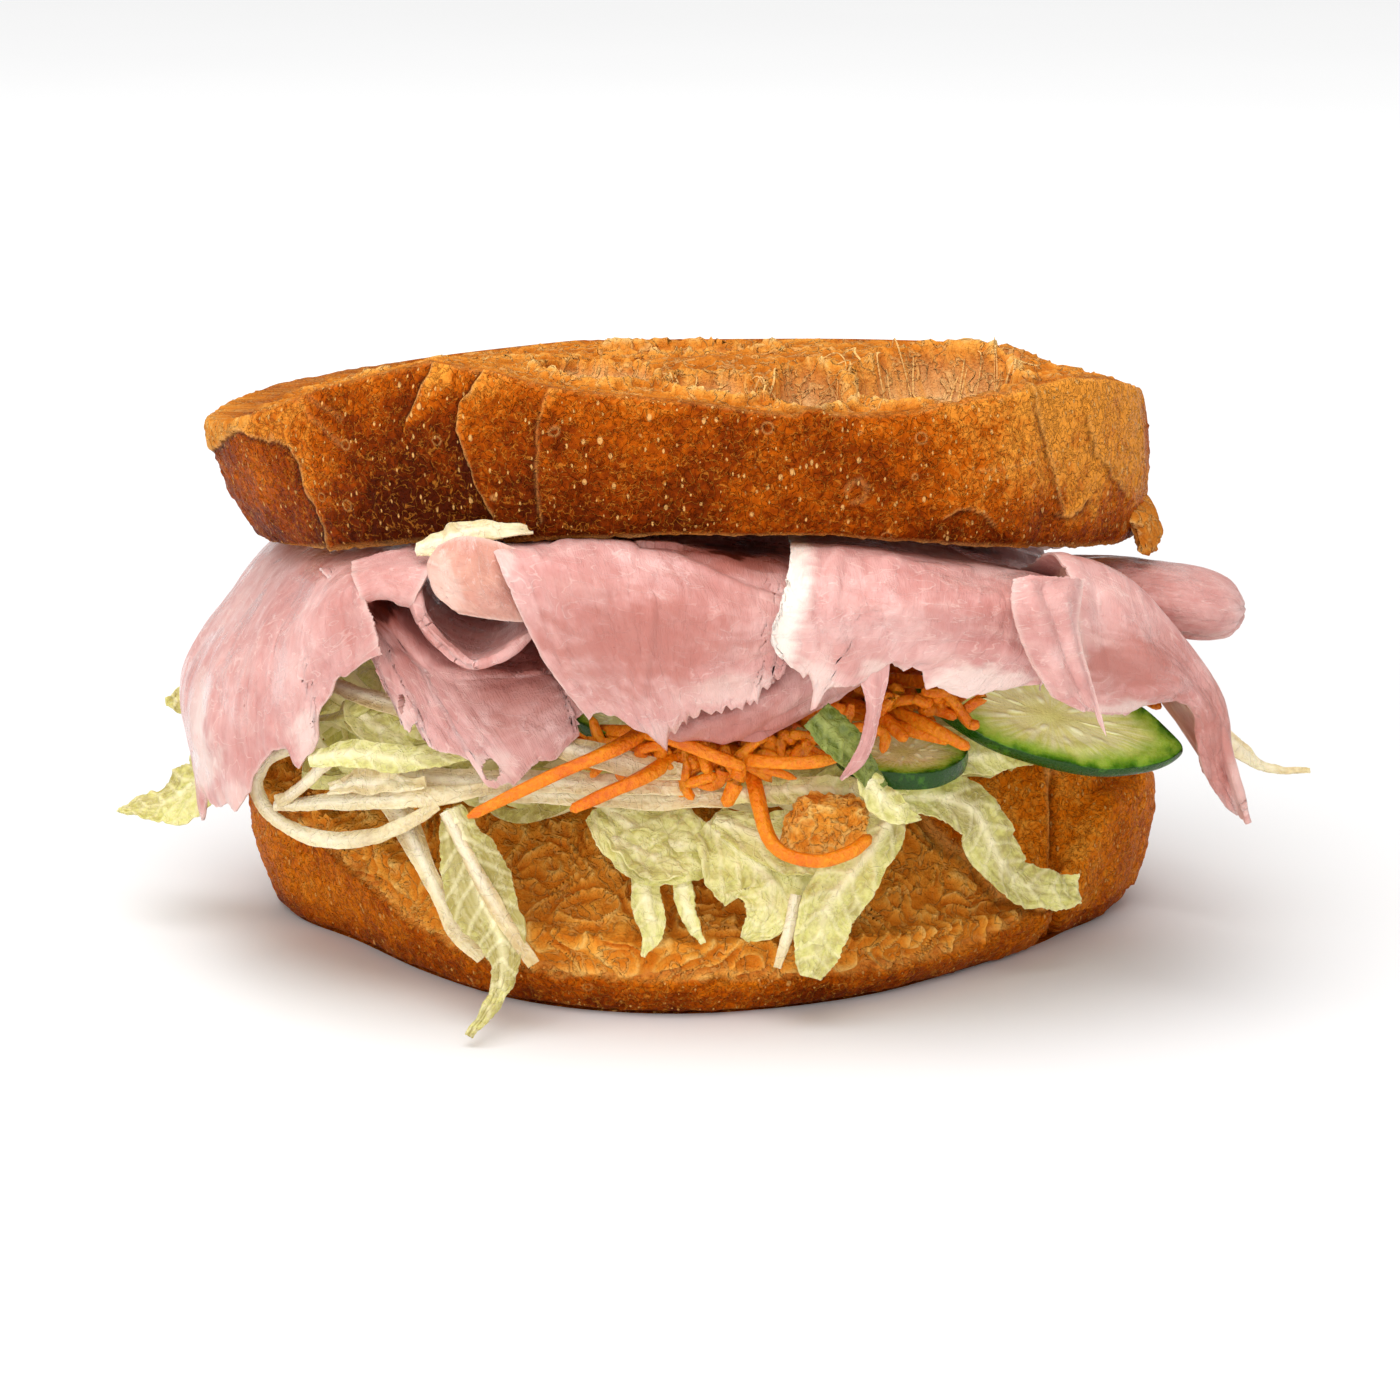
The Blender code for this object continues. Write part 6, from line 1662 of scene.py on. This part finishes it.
def makeCucumber(name, centre, longHalf, wideHalf, thickness, axis, facing):
    # A ball pressed into a disc: its rings run over the cut face, the skin and the other face.
    piece = makeBall(name, 144, 96)
    unit = vertexPlaces(piece)
    polar = np.arccos(np.clip(unit[:, 2], -1, 1)) / np.pi
    turn = np.arctan2(unit[:, 1], unit[:, 0])
    radius = np.clip(np.minimum(polar, 1 - polar) / 0.4, 0, 1)
    onSkin = np.clip((polar - 0.4) / 0.2, 0, 1)
    bulge = cucumberForm["bulge"] * np.sin(np.pi * onSkin)
    level = np.where(polar < 0.4, 0.5, np.where(polar > 0.6, -0.5, 0.5 - onSkin))
    reach = 0.985 * radius + bulge + 0.006 * np.sin(9 * turn)
    pinch = 1 - cucumberForm["pinch"] * np.cos(turn) ** 4
    normal = Vector(facing).normalized()
    longAxis = Vector(axis)
    longAxis = (longAxis - normal * longAxis.dot(normal)).normalized()
    wideAxis = normal.cross(longAxis)
    seeds = np.zeros(len(unit))
    seedLong, seedWide = cucumberForm["seedHalf"]
    for ringRadius, count in cucumberForm["seedRings"]:
        for k in range(count):
            angle = math.tau * (k + 0.37 * ringRadius * 10) / count
            alongX, alongY = radius * np.cos(turn - angle) - ringRadius, radius * np.sin(turn - angle)
            seeds = np.maximum(seeds, softStep(1.0, 0.5, np.hypot(alongX / seedLong, alongY / seedWide)))
    flat = np.stack([radius * np.cos(turn) * longHalf, radius * np.sin(turn) * wideHalf, level * 9], axis=1)
    dips = 0.2 * noise(flat, 2.4, 70) - 0.3 * softStep(0.62, 0.4, radius) + 0.22 * seeds
    dips = np.where(radius > 0.97, 0, dips) * np.sign(level)
    points = (np.array(centre) + np.outer(reach * np.cos(turn) * longHalf, longAxis)
              + np.outer(reach * np.sin(turn) * wideHalf * pinch, wideAxis)
              + np.outer(level * thickness + dips, normal))
    placeVertices(piece, points)
    paintMasks(piece, radius=np.clip(radius * 0.93 + 0.07 * (onSkin > 0) * (onSkin < 1), 0, 1),
               seeds=seeds * 0.6, flesh=0.5 * softStep(0.86, 0.6, radius) * softStep(0.05, 0.3, radius))
    dress(piece, [name], finishes["cucumber"], 40)


# Loose bread: the scrap at the front and the flap torn from the top slice

scrap = {"centre": (17, -50.6, 27.8), "half": (5.6, 2.3, 4.2), "lean": 0.22, "torn": 0.55}
tornFlap = {
    "rails": (((57, -20, 65), (58, -12, 65), (59, -4, 65)),
              ((61, -22, 64), (62.4, -14, 65), (62, -5, 65)),
              ((62.6, -23, 59.5), (65.5, -15, 60.5), (65, -6, 61))),
    "grid": (60, 46), "thickness": 2.6, "torn": 0.7,
}


def makeScrap():
    piece = addPrimitive(bpy.ops.mesh.primitive_ico_sphere_add, "bread_scrap_torn", subdivisions=6, radius=1)
    unit = vertexPlaces(piece)
    squared = np.sign(unit) * np.abs(unit) ** 0.6
    lump = squared * (1 + 0.14 * noise(unit, 0.8, 80)[:, None])
    points = np.array(scrap["centre"]) + lump * np.array(scrap["half"])
    points[:, 0] += scrap["lean"] * (points[:, 2] - scrap["centre"][2])
    folds = ridges(points, (2.6, 2.6, 1.6), 81) + 0.5 * ridges(points, 1.1, 82)
    placeVertices(piece, points + unit * ((folds - 0.5) * scrap["torn"])[:, None])
    paintMasks(piece, crumbShare=1.0, relief=np.clip(0.36 + 0.4 * folds, 0, 1), paleMark=0, darkMark=0,
               bake=0, cave=0)
    dress(piece, ["bread_scrap"], finishes["bottomBread"])


def makeFlap():
    piece, u, v = newGrid("torn_flap", *tornFlap["grid"])
    points = railSurface(tornFlap["rails"], u, v * (1 - 0.12 * tornEdge(u, 83, 1.0)))
    points = points + 0.8 * np.stack([0 * u, 0 * u, noise(points, 5, 84)], axis=1)
    normals = gridNormals(piece, points)
    folds = ridges(points, 2.4, 85)
    placeVertices(piece, points + normals * ((folds - 0.3) * tornFlap["torn"])[:, None])
    paintMasks(piece, crumbShare=0.95, relief=np.clip(0.36 + 0.5 * folds, 0, 1), paleMark=0, darkMark=0,
               bake=0.5, cave=0)
    edge = np.minimum(np.minimum(u, 1 - u), 1 - v)
    thicken(piece, tornFlap["thickness"], softStep(-0.1, 0.2, edge))
    finishSheet(piece)
    dress(piece, ["bread_top"], finishes["topBread"])


makeTopSlice()
makeCrumbStrands()
makeBottomSlice()
makeScrap()
makeFlap()
print("bread made")
for order, (name, sizes) in enumerate(hamSlices.items()):
    makeHam(name, 10 + 7 * order, sizes)
makeRoll()
print("ham made")
for order, (name, sizes) in enumerate(leaves.items()):
    makeLeaf(name, 120 + 11 * order, *sizes)
makeLeaf("ham_strip", 99, *hamStrip)
print("leaves made")
makeLettuceBed()
makeCarrotHeap()
for name, sizes in cucumberSlices.items():
    makeCucumber(name, *sizes)
print("heaps and cucumber made")


# Studio

studio = {
    "floor": 6, "world": 0.43,  # the floor's radius in metres, and how bright the sky is
    "paper": ((0.86, 0.86, 0.86, 1), (0.88, 0.88, 0.88, 1)),
    "glow": 0.5, "glowFrom": 0.12, "glowFull": 0.9,  # how bright, and from and to how far out
    # Panels: place, where each points, its width and depth in metres, and its power.
    "panels": {
        "overhead": ((-0.16, -0.2, 1.08), (0, 0, 0.04), (1.35, 1.0), 13.6),
        "front": ((-0.35, -1.2, 0.5), (0, 0, 0.04), (1.4, 0.8), 7.4),
    },
}


def addPanel(name, place, target, size, power):
    light = bpy.data.lights.new(name, "AREA")
    light.shape = "RECTANGLE"
    light.size, light.size_y = size
    light.energy = power
    panel = bpy.data.objects.new(name, light)
    bpy.context.scene.collection.objects.link(panel)
    panel.location = place
    panel.rotation_euler = (Vector(target) - Vector(place)).to_track_quat("-Z", "Y").to_euler()


def makeStudio():
    floor = addPrimitive(bpy.ops.mesh.primitive_circle_add, "floor", vertices=96, radius=studio["floor"],
                         fill_type="NGON")
    paper, tree, shader = newFinish("whitePaper", {
        "Roughness": 0.9, "Specular IOR Level": 0.1, "Emission Strength": studio["glow"]})
    place = ownPlace(tree)
    shade = patches(tree, place, 400.0, 2.0, 0.2, 0.8)
    tree.links.new(blendColours(tree, shade, *studio["paper"]), shader.inputs["Base Color"])
    # The paper glows more and more with distance, so that it stays white to the horizon.
    away = addNode(tree, "ShaderNodeVectorMath", {0: place}, operation="LENGTH").outputs["Value"]
    glow = remap(tree, away, studio["glowFrom"], studio["glowFull"])
    tree.links.new(glow, shader.inputs["Emission Color"])
    floor.data.materials.append(paper)
    world = bpy.data.worlds.new("studio")
    bpy.context.scene.world = world
    world.use_nodes = True
    sky = world.node_tree.nodes["Background"].inputs
    sky["Color"].default_value = (1, 1, 1, 1)
    sky["Strength"].default_value = studio["world"]
    for name, (place, target, size, power) in studio["panels"].items():
        addPanel(name, place, target, size, power)
    camera = bpy.data.objects.new("camera", bpy.data.cameras.new("camera"))
    bpy.context.scene.collection.objects.link(camera)
    camera.data.lens = view["lens"]
    camera.data.sensor_width = view["sensor"]
    camera.data.clip_start = 0.01
    camera.location = [part * millimetre for part in view["place"]]
    target = Vector([part * millimetre for part in view["target"]])
    camera.rotation_euler = (target - camera.location).to_track_quat("-Z", "Y").to_euler()
    bpy.context.scene.camera = camera
    bpy.context.scene.view_settings.view_transform = "Standard"


makeStudio()
print("studio ready")
